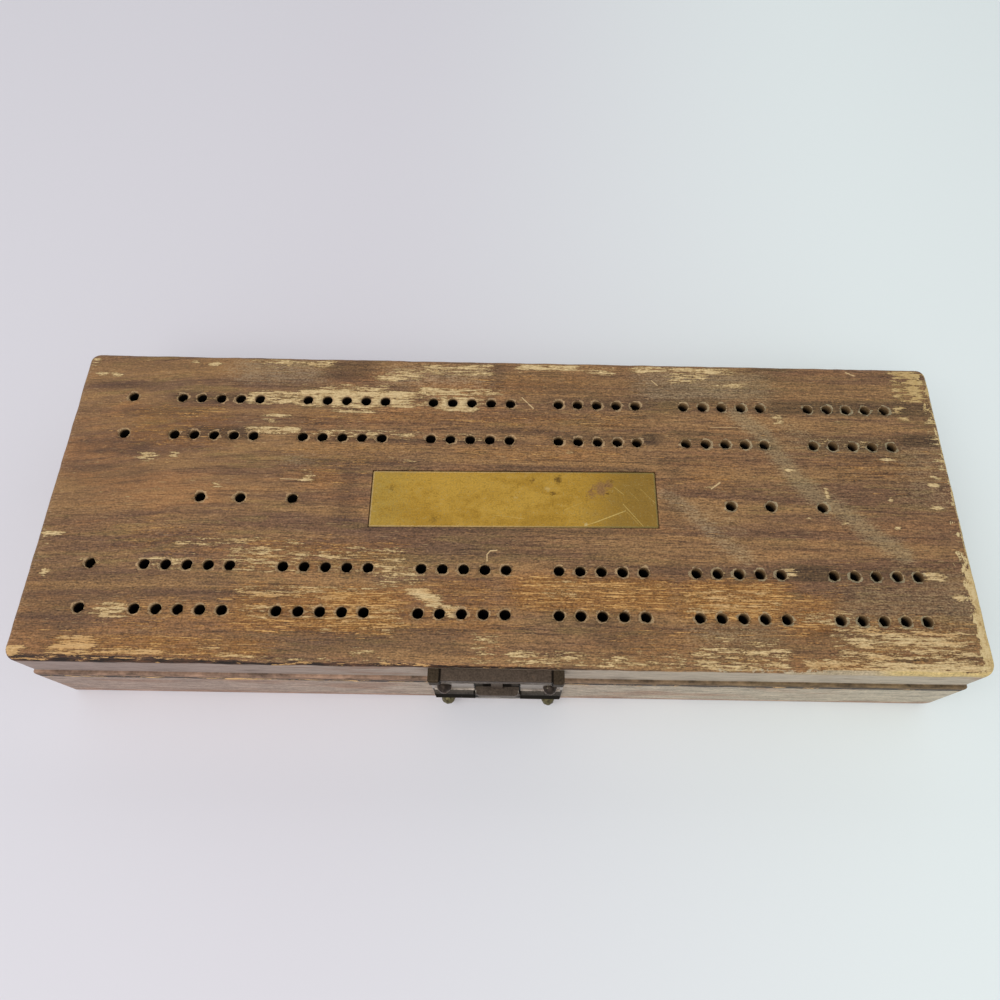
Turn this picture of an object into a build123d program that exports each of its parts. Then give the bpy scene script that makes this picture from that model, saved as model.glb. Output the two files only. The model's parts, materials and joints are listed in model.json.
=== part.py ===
from build123d import *
import os

# Cribbage box with a drawer. Millimetres; +X to the right, -Y to the front, +Z up.
# The origin is under the middle of the peg hole pattern, on the surface that the box stands on.

# ---------------------------------------------------------------- driving dimensions
# top board
board_length = 282.4
board_width = 104.2
board_thickness = 12.7
board_setback = 0.6
board_front_corner_radius = 4.0
board_rear_corner_radius = 3.0
board_top_round = 1.5
board_bottom_round = 0.8

# peg holes
hole_diameter = 3.3
hole_depth = 9.5
hole_mouth_chamfer = 0.3
hole_pitch = 6.35
holes_per_street = 5
streets_per_row = 6
first_street_margin = 34.0
last_street_margin = 17.0
start_hole_margin = 18.0
outer_row_margin = 16.23
row_spacing = 13.77
counting_margin = 58.75
counting_step_inward = 16.2
counting_step_outward = 12.4
counting_row_y = 0.15

# name plate
name_plate_length = 88.9
name_plate_width = 19.05
name_plate_thickness = 0.8
name_plate_corner_radius = 0.5
name_plate_edge_chamfer = 0.15
name_plate_recess_depth = 0.9
name_plate_clearance = 0.25
name_plate_x = 2.5
name_plate_y = 1.3
name_plate_turn = 0.8

# case under the board
body_height = 25.4
case_end_inset = 2.2
case_rear_inset = 2.7
case_wall = 8.0
case_floor = 3.2
wood_edge_round = 0.5

# drawer
drawer_front_thickness = 9.5
drawer_front_proud = 1.0
drawer_front_round = 0.8
drawer_front_worn_corner = 3.0
drawer_housing_depth = 3.0
drawer_wall = 6.0
drawer_floor = 2.5
drawer_side_clearance = 0.4
drawer_rear_clearance = 0.5
drawer_floor_clearance = 0.3
drawer_top_clearance = 1.0
front_top_gap = 0.5
front_bottom_gap = 0.4
divider_thickness = 4.0
divider_top_drop = 2.0
peg_well_width = 58.0

# brads that hold the wooden boxes together
brad_shank = 1.2
brad_head = 2.2
brad_head_thickness = 0.5
brad_length = 16.0
brad_hole_clearance = 0.03
brad_edge_margin = 6.0
case_side_brad_count = 3
case_back_brad_count = 3
drawer_side_brad_count = 3
drawer_back_brad_count = 3
floor_brad_length = 11.0

# latch: the plate and bolt on the drawer front
latch_x = -1.5
latch_plate_length = 39.6
latch_plate_height = 22.8
latch_plate_thickness = 0.8
latch_plate_corner_radius = 2.0
latch_plate_top_gap = 0.2
guide_height = 8.0
guide_projection = 1.5
guide_round = 1.2
guide_wall = 0.5
guide_end_margin = 0.6
guide_bolt_gap = 0.5
latch_pin_spacing_x = 31.75
latch_pin_spacing_z = 16.8
latch_pin_head = 4.0
latch_pin_head_projection = 1.8
latch_pin_shank = 1.5
latch_pin_length = 7.0
bolt_width = 13.0
bolt_thickness = 0.6
bolt_running_gap = 0.1
bolt_travel = 3.0
bolt_wing_length = 3.0
bolt_wing_height = 3.4
bolt_end_clearance = 0.3
bolt_tab_projection = 2.6
bolt_tab_thickness = 2.2
bolt_tab_corner_radius = 1.4
bolt_neck_width = 3.4

# latch: the strike on the board's front edge
strike_length = 31.9
strike_projection = 3.4
strike_sheet = 0.6
strike_bar_height = 3.2
strike_top_drop = 1.5
strike_plate_thickness = 0.8
strike_plate_bottom_gap = 0.8
strike_end_clearance = 0.3
strike_edge_round = 0.4
ear_width = 3.5
ear_projection = 4.0
ear_height = 4.6
ear_round = 0.8
strike_pin_spacing = 20.0
strike_pin_head = 3.6
strike_pin_head_projection = 0.7
strike_pin_length = 8.0

# old pin hole beside the latch plate
stray_hole_diameter = 1.0
stray_hole_depth = 4.0
stray_hole_gap = 0.4

# pegs
peg_shank = 3.0
peg_tip = 2.4
peg_shank_length = 18.0
peg_grip = 3.8
peg_grip_length = 11.0
peg_collar = 4.8
peg_collar_thickness = 1.0
peg_ball = 5.0
peg_ball_seat = 0.5
peg_count = 4
peg_spacing = 7.5
peg_floor_gap = 0.1
peg_rear_gap = 6.0

# ---------------------------------------------------------------- derived places
board_underside_z = body_height
board_top_z = body_height + board_thickness
board_front_y = board_setback - board_width / 2
board_rear_y = board_setback + board_width / 2

case_half_length = board_length / 2 - case_end_inset
case_inner_half_length = case_half_length - case_wall
case_rear_y = board_rear_y - case_rear_inset
case_inner_rear_y = case_rear_y - case_wall

drawer_face_y = board_front_y - drawer_front_proud
front_rear_y = drawer_face_y + drawer_front_thickness
front_bottom_z = front_bottom_gap
front_top_z = body_height - front_top_gap
drawer_half_length = case_inner_half_length - drawer_side_clearance
drawer_inner_half_length = drawer_half_length - drawer_wall
drawer_rear_y = case_inner_rear_y - drawer_rear_clearance
drawer_inner_rear_y = drawer_rear_y - drawer_wall
drawer_under_z = case_floor + drawer_floor_clearance
drawer_floor_z = drawer_under_z + drawer_floor
drawer_rim_z = body_height - drawer_top_clearance

outer_row_y = board_width / 2 - outer_row_margin
inner_row_y = outer_row_y - row_spacing
street_length = hole_pitch * (holes_per_street - 1)
street_run = board_length - first_street_margin - last_street_margin - street_length
street_pitch = street_run / (streets_per_row - 1)
first_hole_x = -board_length / 2 + first_street_margin
start_hole_x = -board_length / 2 + start_hole_margin
counting_x = board_length / 2 - counting_margin

plate_bottom_z = front_top_z - latch_plate_top_gap - latch_plate_height
plate_middle_z = plate_bottom_z + latch_plate_height / 2
plate_face_y = drawer_face_y - latch_plate_thickness
guide_bottom_z = plate_middle_z - guide_height / 2
guide_inner_x = bolt_width / 2 + guide_bolt_gap
guide_outer_x = latch_plate_length / 2 - guide_end_margin
bolt_back_y = plate_face_y - bolt_running_gap
bolt_front_y = bolt_back_y - bolt_thickness
bolt_bottom_z = guide_bottom_z + guide_wall + bolt_end_clearance
bolt_shoulder_z = plate_middle_z + latch_pin_spacing_z / 2

strike_top_z = board_top_z - strike_top_drop
strike_bar_bottom_z = strike_top_z - strike_bar_height
strike_hollow_top_z = strike_top_z - strike_sheet
bolt_neck_top_z = strike_hollow_top_z - strike_end_clearance - bolt_travel


def slab(x_range, y_range, z_range):
    """A rectangular solid between three pairs of coordinates."""
    size = [high - low for low, high in (x_range, y_range, z_range)]
    middle = [(high + low) / 2 for low, high in (x_range, y_range, z_range)]
    return Pos(*middle) * Box(*size)


def evenly(low, high, count):
    """Places spread evenly from low to high, both included."""
    if count == 1:
        return [(low + high) / 2]
    return [low + (high - low) * step / (count - 1) for step in range(count)]


# ---------------------------------------------------------------- top board and plate
def peg_hole_places():
    """Centres of every peg hole on the board's top."""
    places = []
    for row_y in (-outer_row_y, -inner_row_y, inner_row_y, outer_row_y):
        places.append((start_hole_x, row_y))
        for street in range(streets_per_row):
            for hole in range(holes_per_street):
                hole_x = first_hole_x + street * street_pitch + hole * hole_pitch
                places.append((hole_x, row_y))
    for centre_x in (-counting_x, counting_x):
        for step in (-counting_step_outward, 0, counting_step_inward):
            places.append((centre_x + step, counting_row_y))
    return places


def name_plate_seat():
    """The plate's place on the board's top face, turned a little as it was let in."""
    return Pos(name_plate_x, name_plate_y, board_top_z) * Rot(0, 0, name_plate_turn)


def make_top_board():
    board = slab(
        (-board_length / 2, board_length / 2),
        (board_front_y, board_rear_y),
        (board_underside_z, board_top_z),
    )
    board = fillet(board.edges().filter_by(Axis.Z).group_by(Axis.Y)[0], board_front_corner_radius)
    board = fillet(board.edges().filter_by(Axis.Z).group_by(Axis.Y)[-1], board_rear_corner_radius)
    board = fillet(board.faces().sort_by(Axis.Z)[-1].edges(), board_top_round)
    board = fillet(board.faces().sort_by(Axis.Z)[0].edges(), board_bottom_round)
    drill = Pos(0, 0, -hole_depth / 2) * Cylinder(hole_diameter / 2, hole_depth)
    mouth = Pos(0, 0, -hole_mouth_chamfer / 2) * Cone(
        hole_diameter / 2, hole_diameter / 2 + hole_mouth_chamfer, hole_mouth_chamfer
    )
    tool = drill + mouth
    tools = [Pos(x, y, board_top_z) * tool for x, y in peg_hole_places()]
    recess_outline = RectangleRounded(
        name_plate_length + 2 * name_plate_clearance,
        name_plate_width + 2 * name_plate_clearance,
        name_plate_corner_radius + name_plate_clearance,
    )
    recess = name_plate_seat() * extrude(recess_outline, -name_plate_recess_depth)
    pin_holes = [seat * pin_hole(strike_pin_length) for seat in strike_pin_seats()]
    return board - (tools + [recess] + pin_holes)


def make_name_plate():
    outline = RectangleRounded(name_plate_length, name_plate_width, name_plate_corner_radius)
    plate = extrude(outline, name_plate_thickness)
    plate = chamfer(plate.faces().sort_by(Axis.Z)[-1].edges(), name_plate_edge_chamfer)
    return name_plate_seat() * Pos(0, 0, -name_plate_recess_depth) * plate


# ---------------------------------------------------------------- brads
def brad(length):
    """A brad along -Z with the top of its head at the origin."""
    head = Pos(0, 0, -brad_head_thickness / 2) * Cylinder(brad_head / 2, brad_head_thickness)
    shank = Pos(0, 0, -length / 2) * Cylinder(brad_shank / 2, length)
    return head + shank


def brad_hole(length):
    """The hole that a brad's head and shank fill, a hair larger."""
    head_radius = brad_head / 2 + brad_hole_clearance
    shank_radius = brad_shank / 2 + brad_hole_clearance
    depth = length + brad_hole_clearance
    head = Pos(0, 0, -brad_head_thickness / 2) * Cylinder(head_radius, brad_head_thickness)
    shank = Pos(0, 0, -depth / 2) * Cylinder(shank_radius, depth)
    return head + shank


def side_brad_seats(half_length, middle_y, z_range):
    """Seats of brads driven through both side walls into the ends of a cross wall."""
    heights = evenly(z_range[0] + brad_edge_margin, z_range[1] - brad_edge_margin, 2)
    seats = []
    for height in heights:
        seats.append(Pos(half_length, middle_y, height) * Rot(0, 90, 0))
        seats.append(Pos(-half_length, middle_y, height) * Rot(0, -90, 0))
    return seats


def floor_brad_seats(under_z, side_x, y_range, side_count, back_y, back_half, back_count):
    """Seats of brads driven up through a floor into the walls that stand on it."""
    places = []
    for y in evenly(y_range[0] + brad_edge_margin, y_range[1] - brad_edge_margin, side_count):
        places += [(-side_x, y), (side_x, y)]
    inset = back_half - 2 * brad_edge_margin
    places += [(x, back_y) for x in evenly(-inset, inset, back_count)]
    return [Pos(x, y, under_z) * Rot(180, 0, 0) for x, y in places]


case_corner_seats = side_brad_seats(
    case_half_length, case_rear_y - case_wall / 2, (case_floor, body_height)
)
case_floor_seats = floor_brad_seats(
    0,
    case_half_length - case_wall / 2,
    (front_rear_y, case_inner_rear_y),
    case_side_brad_count,
    case_rear_y - case_wall / 2,
    case_inner_half_length,
    case_back_brad_count,
)
drawer_corner_seats = side_brad_seats(
    drawer_half_length, drawer_rear_y - drawer_wall / 2, (drawer_floor_z, drawer_rim_z)
)
drawer_floor_seats = floor_brad_seats(
    drawer_under_z,
    drawer_half_length - drawer_wall / 2,
    (front_rear_y, drawer_inner_rear_y),
    drawer_side_brad_count,
    drawer_rear_y - drawer_wall / 2,
    drawer_inner_half_length,
    drawer_back_brad_count,
)


def drilled(solid, seats, length):
    """The solid with the brad holes at these seats."""
    return solid - [seat * brad_hole(length) for seat in seats]


def drilled_case_wall(solid):
    solid = drilled(solid, case_corner_seats, brad_length)
    return drilled(solid, case_floor_seats, floor_brad_length)


def drilled_drawer_wall(solid):
    solid = drilled(solid, drawer_corner_seats, brad_length)
    return drilled(solid, drawer_floor_seats, floor_brad_length)


# ---------------------------------------------------------------- case
def make_case_floor():
    panel = slab(
        (-case_half_length, case_half_length), (front_rear_y, case_rear_y), (0, case_floor)
    )
    rear_bottom = panel.edges().filter_by(Axis.X).group_by(Axis.Z)[0].sort_by(Axis.Y)[-1]
    panel = fillet(rear_bottom, wood_edge_round)
    return drilled(panel, case_floor_seats, floor_brad_length)


def make_case_side(side):
    """side is -1 for the left wall and 1 for the right one."""
    ends = sorted((side * case_half_length, side * case_inner_half_length))
    wall = slab(ends, (front_rear_y, case_rear_y), (case_floor, body_height))
    outer_rear = wall.edges().filter_by(Axis.Z).group_by(Axis.Y)[-1].sort_by(Axis.X)
    outer_rear = outer_rear[-1] if side > 0 else outer_rear[0]
    return drilled_case_wall(fillet(outer_rear, wood_edge_round))


def make_case_back():
    wall = slab(
        (-case_inner_half_length, case_inner_half_length),
        (case_inner_rear_y, case_rear_y),
        (case_floor, body_height),
    )
    return drilled_case_wall(wall)


# ---------------------------------------------------------------- drawer
def make_drawer_front():
    front = slab(
        (-case_half_length, case_half_length),
        (drawer_face_y, front_rear_y),
        (front_bottom_z, front_top_z),
    )
    worn_corner = front.edges().filter_by(Axis.Y).group_by(Axis.Z)[0].sort_by(Axis.X)[-1]
    front = fillet(worn_corner, drawer_front_worn_corner)
    front = fillet(front.faces().sort_by(Axis.Y)[0].edges(), drawer_front_round)
    housings = [
        slab(
            sorted((side * drawer_half_length, side * drawer_inner_half_length)),
            (front_rear_y - drawer_housing_depth, front_rear_y),
            (drawer_floor_z, front_top_z),
        )
        for side in (-1, 1)
    ]
    stray_x = latch_x + latch_plate_length / 2 + stray_hole_gap + stray_hole_diameter / 2
    stray_hole = Pos(stray_x, drawer_face_y, plate_middle_z + guide_height / 2) * Rot(90, 0, 0)
    stray_hole *= Cylinder(stray_hole_diameter / 2, 2 * stray_hole_depth)
    pin_holes = [seat * pin_hole(latch_pin_length) for seat in latch_pin_seats()]
    return front - (housings + [stray_hole] + pin_holes)


def make_drawer_side(side):
    """side is -1 for the left wall and 1 for the right one."""
    wall = slab(
        sorted((side * drawer_half_length, side * drawer_inner_half_length)),
        (front_rear_y - drawer_housing_depth, drawer_rear_y),
        (drawer_floor_z, drawer_rim_z),
    )
    top_edges = wall.edges().filter_by(Axis.Y).group_by(Axis.Z)[-1]
    return drilled_drawer_wall(fillet(top_edges, wood_edge_round))


def make_drawer_back():
    wall = slab(
        (-drawer_inner_half_length, drawer_inner_half_length),
        (drawer_inner_rear_y, drawer_rear_y),
        (drawer_floor_z, drawer_rim_z),
    )
    top_edges = wall.edges().filter_by(Axis.X).group_by(Axis.Z)[-1]
    return drilled_drawer_wall(fillet(top_edges, wood_edge_round))


def make_drawer_floor():
    panel = slab(
        (-drawer_half_length, drawer_half_length),
        (front_rear_y, drawer_rear_y),
        (drawer_under_z, drawer_floor_z),
    )
    return drilled(panel, drawer_floor_seats, floor_brad_length)


def make_divider(side):
    """One of the two walls beside the peg well; side is -1 for the left one."""
    inner_x = peg_well_width / 2
    wall = slab(
        sorted((side * inner_x, side * (inner_x + divider_thickness))),
        (front_rear_y, drawer_inner_rear_y),
        (drawer_floor_z, drawer_rim_z - divider_top_drop),
    )
    return fillet(wall.edges().filter_by(Axis.Y).group_by(Axis.Z)[-1], wood_edge_round)


# ---------------------------------------------------------------- latch
def pin(head, head_projection, length):
    """A round-headed pin along -Z, with the underside of its head at the origin."""
    shank = Pos(0, 0, -length / 2) * Cylinder(latch_pin_shank / 2, length)
    half_head = head / 2
    dome_radius = (half_head**2 + head_projection**2) / (2 * head_projection)
    dome = Pos(0, 0, head_projection - dome_radius) * Sphere(dome_radius)
    disc = Pos(0, 0, head_projection / 2) * Cylinder(half_head, head_projection)
    return shank + (dome & disc)


def pin_hole(length):
    """The hole that a pin's shank fills, a hair larger, through the plate behind its head."""
    radius = latch_pin_shank / 2 + brad_hole_clearance
    depth = length + brad_hole_clearance
    return Pos(0, 0, -depth / 2) * Cylinder(radius, depth)


def latch_pin_seats():
    """Undersides of the four pin heads, on the face of the latch plate."""
    corners = [(x, z) for x in (-1, 1) for z in (-1, 1)]
    return [
        Pos(
            latch_x + x * latch_pin_spacing_x / 2,
            plate_face_y,
            plate_middle_z + z * latch_pin_spacing_z / 2,
        )
        * Rot(90, 0, 0)
        for x, z in corners
    ]


def upright_plate(centre_x, bottom_z, length, height, back_y, thickness, radius):
    """A thin plate with rounded corners, standing against the plane y = back_y."""
    outline = RectangleRounded(length, height, radius)
    seat = Pos(centre_x, back_y, bottom_z + height / 2) * Rot(90, 0, 0)
    return seat * extrude(outline, thickness)


def make_guide(side):
    """One hollow raised rib that a wing of the bolt runs in, open at its inner end."""
    inner = latch_x + side * guide_inner_x
    outer = latch_x + side * guide_outer_x
    z_range = (guide_bottom_z, guide_bottom_z + guide_height)
    rib = slab(sorted((inner, outer)), (plate_face_y - guide_projection, plate_face_y), z_range)
    front_edges = rib.faces().sort_by(Axis.Y)[0].edges()
    rib = fillet(front_edges.filter_by(Axis.X), guide_round)
    outer_end = outer - side * 2 * guide_wall
    pocket = slab(
        sorted((inner, outer_end)),
        (plate_face_y - guide_projection + guide_wall, plate_face_y),
        (z_range[0] + guide_wall, z_range[1] - guide_wall),
    )
    front_bottom = pocket.faces().sort_by(Axis.Y)[0].edges().filter_by(Axis.X)
    return rib, fillet(front_bottom, guide_round - guide_wall)


def make_latch_plate():
    plate = upright_plate(
        latch_x,
        plate_bottom_z,
        latch_plate_length,
        latch_plate_height,
        drawer_face_y,
        latch_plate_thickness,
        latch_plate_corner_radius,
    )
    for side in (-1, 1):
        rib, pocket = make_guide(side)
        plate = plate + rib - pocket
    return plate - [seat * pin_hole(latch_pin_length) for seat in latch_pin_seats()]


def make_latch_bolt():
    body = slab(
        (latch_x - bolt_width / 2, latch_x + bolt_width / 2),
        (bolt_front_y, bolt_back_y),
        (bolt_bottom_z, bolt_shoulder_z),
    )
    wing_half = guide_inner_x + bolt_wing_length
    wings = slab(
        (latch_x - wing_half, latch_x + wing_half),
        (bolt_front_y, bolt_back_y),
        (bolt_bottom_z, bolt_bottom_z + bolt_wing_height),
    )
    neck = slab(
        (latch_x - bolt_neck_width / 2, latch_x + bolt_neck_width / 2),
        (bolt_front_y, bolt_back_y),
        (bolt_shoulder_z, bolt_neck_top_z),
    )
    tab = slab(
        (latch_x - bolt_width / 2, latch_x + bolt_width / 2),
        (bolt_back_y - bolt_tab_projection, bolt_back_y),
        (bolt_shoulder_z - bolt_tab_thickness, bolt_shoulder_z),
    )
    tab_corners = tab.edges().filter_by(Axis.Z).group_by(Axis.Y)[0]
    tab = fillet(tab_corners, bolt_tab_corner_radius)
    return body + wings + neck + tab


def make_strike():
    x_range = (latch_x - strike_length / 2, latch_x + strike_length / 2)
    plate = slab(
        x_range,
        (board_front_y - strike_plate_thickness, board_front_y),
        (board_underside_z + strike_plate_bottom_gap, strike_top_z - board_top_round / 2),
    )
    front_y = board_front_y - strike_projection
    hood = slab(x_range, (front_y, board_front_y), (strike_bar_bottom_z, strike_top_z))
    top_front_edge = hood.edges().filter_by(Axis.X).group_by(Axis.Y)[0].sort_by(Axis.Z)[-1]
    hood = fillet(top_front_edge, strike_edge_round)
    hollow = slab(
        x_range,
        (front_y + strike_sheet, board_front_y - strike_plate_thickness),
        (strike_bar_bottom_z, strike_hollow_top_z),
    )
    strike = plate + (hood - hollow)
    for side in (-1, 1):
        inner = latch_x + side * strike_length / 2
        ear = slab(
            sorted((inner, inner + side * ear_width)),
            (board_front_y - ear_projection, board_front_y),
            (strike_top_z - ear_height, strike_top_z),
        )
        front_edges = ear.faces().sort_by(Axis.Y)[0].edges()
        strike += fillet(front_edges, ear_round)
    return strike - [seat * pin_hole(strike_pin_length) for seat in strike_pin_seats()]


def strike_pin_seats():
    """Undersides of the two pin heads, on the face of the strike's plate, under its bar."""
    middle_z = (board_underside_z + strike_plate_bottom_gap + strike_bar_bottom_z) / 2
    return [
        Pos(latch_x + x * strike_pin_spacing / 2, board_front_y - strike_plate_thickness, middle_z)
        * Rot(90, 0, 0)
        for x in (-1, 1)
    ]


# ---------------------------------------------------------------- pegs
def make_peg(index):
    """A turned peg lying along X on the floor of the peg well."""
    collar_x = peg_shank_length
    ball_x = collar_x + peg_collar_thickness + peg_grip_length + peg_ball / 2
    length_seat = Rot(0, 90, 0)
    shank = Pos(peg_shank_length / 2, 0, 0) * length_seat * Cone(
        peg_tip / 2, peg_shank / 2, peg_shank_length
    )
    collar = Pos(collar_x + peg_collar_thickness / 2, 0, 0) * length_seat * Cylinder(
        peg_collar / 2, peg_collar_thickness
    )
    grip_x = collar_x + peg_collar_thickness + peg_grip_length / 2
    grip = Pos(grip_x, 0, 0) * length_seat * Cylinder(
        peg_grip / 2, peg_grip_length + 2 * peg_ball_seat
    )
    ball = Pos(ball_x, 0, 0) * Sphere(peg_ball / 2)
    peg = shank + collar + grip + ball
    total_length = ball_x + peg_ball / 2
    peg_y = drawer_inner_rear_y - peg_rear_gap - index * peg_spacing
    peg_z = drawer_floor_z + peg_ball / 2 + peg_floor_gap
    return Pos(-total_length / 2, peg_y, peg_z) * peg


# ---------------------------------------------------------------- assembly
def group(solids):
    """Several like solids that share one node."""
    return Compound(children=[solid for solid in solids])


parts = {
    "top_board": make_top_board(),
    "name_plate": make_name_plate(),
    "case_floor": make_case_floor(),
    "case_side_left": make_case_side(-1),
    "case_side_right": make_case_side(1),
    "case_back": make_case_back(),
    "case_corner_brads": group([seat * brad(brad_length) for seat in case_corner_seats]),
    "case_floor_brads": group([seat * brad(floor_brad_length) for seat in case_floor_seats]),
    "strike": make_strike(),
    "strike_pins": group(
        [seat * pin(strike_pin_head, strike_pin_head_projection, strike_pin_length)
         for seat in strike_pin_seats()]
    ),
    "drawer_front": make_drawer_front(),
    "drawer_side_left": make_drawer_side(-1),
    "drawer_side_right": make_drawer_side(1),
    "drawer_back": make_drawer_back(),
    "drawer_floor": make_drawer_floor(),
    "drawer_divider_left": make_divider(-1),
    "drawer_divider_right": make_divider(1),
    "drawer_corner_brads": group([seat * brad(brad_length) for seat in drawer_corner_seats]),
    "drawer_floor_brads": group([seat * brad(floor_brad_length) for seat in drawer_floor_seats]),
    "latch_plate": make_latch_plate(),
    "latch_plate_pins": group(
        [seat * pin(latch_pin_head, latch_pin_head_projection, latch_pin_length)
         for seat in latch_pin_seats()]
    ),
    "latch_bolt": make_latch_bolt(),
}
for peg_index in range(peg_count):
    parts[f"peg_{peg_index + 1}"] = make_peg(peg_index)

os.makedirs("parts", exist_ok=True)
for node, solid in parts.items():
    export_step(solid, f"parts/{node}.step")
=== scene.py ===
import json
import math

import bpy
import numpy as np
from mathutils import Matrix, Vector
from mathutils import noise as plain_noise
from mathutils.geometry import delaunay_2d_cdt


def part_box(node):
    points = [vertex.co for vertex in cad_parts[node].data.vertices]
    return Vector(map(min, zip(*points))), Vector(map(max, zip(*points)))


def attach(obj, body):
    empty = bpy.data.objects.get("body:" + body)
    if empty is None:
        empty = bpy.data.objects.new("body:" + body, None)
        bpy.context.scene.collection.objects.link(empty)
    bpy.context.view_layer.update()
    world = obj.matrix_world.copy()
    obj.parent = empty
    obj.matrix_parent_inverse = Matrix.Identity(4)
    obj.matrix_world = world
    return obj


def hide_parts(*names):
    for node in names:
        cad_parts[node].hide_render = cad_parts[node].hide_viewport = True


# A cribbage box: a worn, walnut-stained board with peg holes over a shallow drawer.
# Lengths in this script are millimetres; Blender works in metres.

MM = 0.001

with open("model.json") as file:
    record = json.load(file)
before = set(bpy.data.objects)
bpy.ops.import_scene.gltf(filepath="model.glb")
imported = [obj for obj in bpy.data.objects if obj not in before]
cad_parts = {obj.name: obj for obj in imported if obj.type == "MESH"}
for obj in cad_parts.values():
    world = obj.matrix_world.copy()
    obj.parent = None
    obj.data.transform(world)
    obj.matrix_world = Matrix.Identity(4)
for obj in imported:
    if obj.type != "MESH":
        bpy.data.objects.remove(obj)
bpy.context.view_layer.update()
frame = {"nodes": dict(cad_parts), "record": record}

nodes = frame["nodes"]
mounts = {mount["name"]: mount for mount in frame["record"]["mounts"]}


def box_mm(node):
    """A node's lowest and highest corners in millimetres."""
    low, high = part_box(node)
    return low / MM, high / MM


# ---------------------------------------------------------------- places from the frame
board_low, board_high = box_mm("top_board")
plate_low, plate_high = box_mm("name_plate")
latch_low, latch_high = box_mm("latch_plate")
board_top = board_high.z

board_top_round = 1.5
board_bottom_round = 0.8
board_front_corner = 4.0
board_rear_corner = 3.0
sharp_edge = math.radians(28)
board_corners = [
    (board_high.x, board_low.y, board_front_corner, -90),
    (board_high.x, board_high.y, board_rear_corner, 0),
    (board_low.x, board_high.y, board_rear_corner, 90),
    (board_low.x, board_low.y, board_front_corner, 180),
]

end_holes = mounts["front_street_1_end_holes"]
street_holes = 5
street_count = 6
hole_steps = 18
hole_angles = [2 * math.pi * step / hole_steps for step in range(hole_steps)]
hole_pitch = end_holes["dims"]["spacing_x_mm"] / (street_holes - 1)
hole_radius = end_holes["dims"]["hole_r_mm"]
hole_mouth = 0.3
hole_light_depth = 1.6
hole_depth = 9.5
hole_wear_reach = 1.2
row_spacing = end_holes["dims"]["spacing_y_mm"]
row_middle = abs(end_holes["pos_m"][1]) / MM
inner_row = row_middle - row_spacing / 2
outer_row = row_middle + row_spacing / 2
street_pitch = (mounts["front_street_2_end_holes"]["pos_m"][0] - end_holes["pos_m"][0]) / MM
first_hole = end_holes["pos_m"][0] / MM - hole_pitch * (street_holes - 1) / 2
start_hole = mounts["start_holes_outer_rows"]["pos_m"][0] / MM
game_centre = mounts["game_holes_middle"]["dims"]["spacing_x_mm"] / 2
game_steps = [
    mounts[f"game_holes_{which}"]["pos_m"][0] / MM for which in ("left", "middle", "right")
]
game_row = mounts["game_holes_middle"]["pos_m"][1] / MM

plate_length = 88.9
plate_width = 19.05
plate_clearance = 0.25
plate_recess = 0.9
plate_turn = math.radians(0.8)
plate_middle = (plate_low + plate_high) / 2
latch_middle_x = (latch_low.x + latch_high.x) / 2


def peg_hole_places():
    """Centres of every peg hole on the board's top."""
    places = []
    for row in (-outer_row, -inner_row, inner_row, outer_row):
        places.append((start_hole, row))
        for street in range(street_count):
            for hole in range(street_holes):
                places.append((first_hole + street * street_pitch + hole * hole_pitch, row))
    for side in (-1, 1):
        for step in game_steps:
            places.append((side * game_centre + step, game_row))
    return places


# ---------------------------------------------------------------- shader sums
def linear(tone):
    """A display colour, 0 to 255 a channel, as Blender's linear colour. A Value stays itself."""
    if isinstance(tone, Value):
        return tone
    shares = [channel / 255 for channel in tone]
    return (*(s / 12.92 if s <= 0.04045 else ((s + 0.055) / 1.055) ** 2.4 for s in shares), 1.0)


class Value:
    """A number, vector or colour on its way through a material. Numbers add up as plain ones do."""

    def __init__(self, finish, socket):
        self.finish = finish
        self.socket = socket

    def maths(self, operation, *others, first=None):
        inputs = [self if first is None else first, *others]
        return self.finish.node("ShaderNodeMath", {"operation": operation}, inputs)

    def __add__(self, other):
        return self.maths("ADD", other)

    __radd__ = __add__

    def __mul__(self, other):
        return self.maths("MULTIPLY", other)

    __rmul__ = __mul__

    def __sub__(self, other):
        return self.maths("SUBTRACT", other)

    def __rsub__(self, other):
        return self.maths("SUBTRACT", self, first=other)

    def __abs__(self):
        return self.maths("ABSOLUTE")

    def __pow__(self, power):
        return self.maths("POWER", power)

    def at_least(self, other):
        return self.maths("MAXIMUM", other)

    def at_most(self, other):
        return self.maths("MINIMUM", other)

    def rise(self, start, end):
        """0 below start, 1 above end, smooth between. It falls where start is the larger."""
        settings = {"interpolation_type": "SMOOTHSTEP", "clamp": True}
        return self.finish.node("ShaderNodeMapRange", settings, [self, start, end, 0.0, 1.0])

    def towards(self, tone, share):
        """This colour where share is 0, and the tone where it is 1."""
        return self.finish.mix(self, tone, share)

    def layered(self, *layers):
        """This colour with tones laid over it in turn, each with its own share."""
        colour = self
        for tone, share in layers:
            colour = colour.towards(tone, share)
        return colour

    def lit(self, share):
        """This colour made brighter or darker by a number that varies."""
        return self.finish.lit(self, share)


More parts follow.
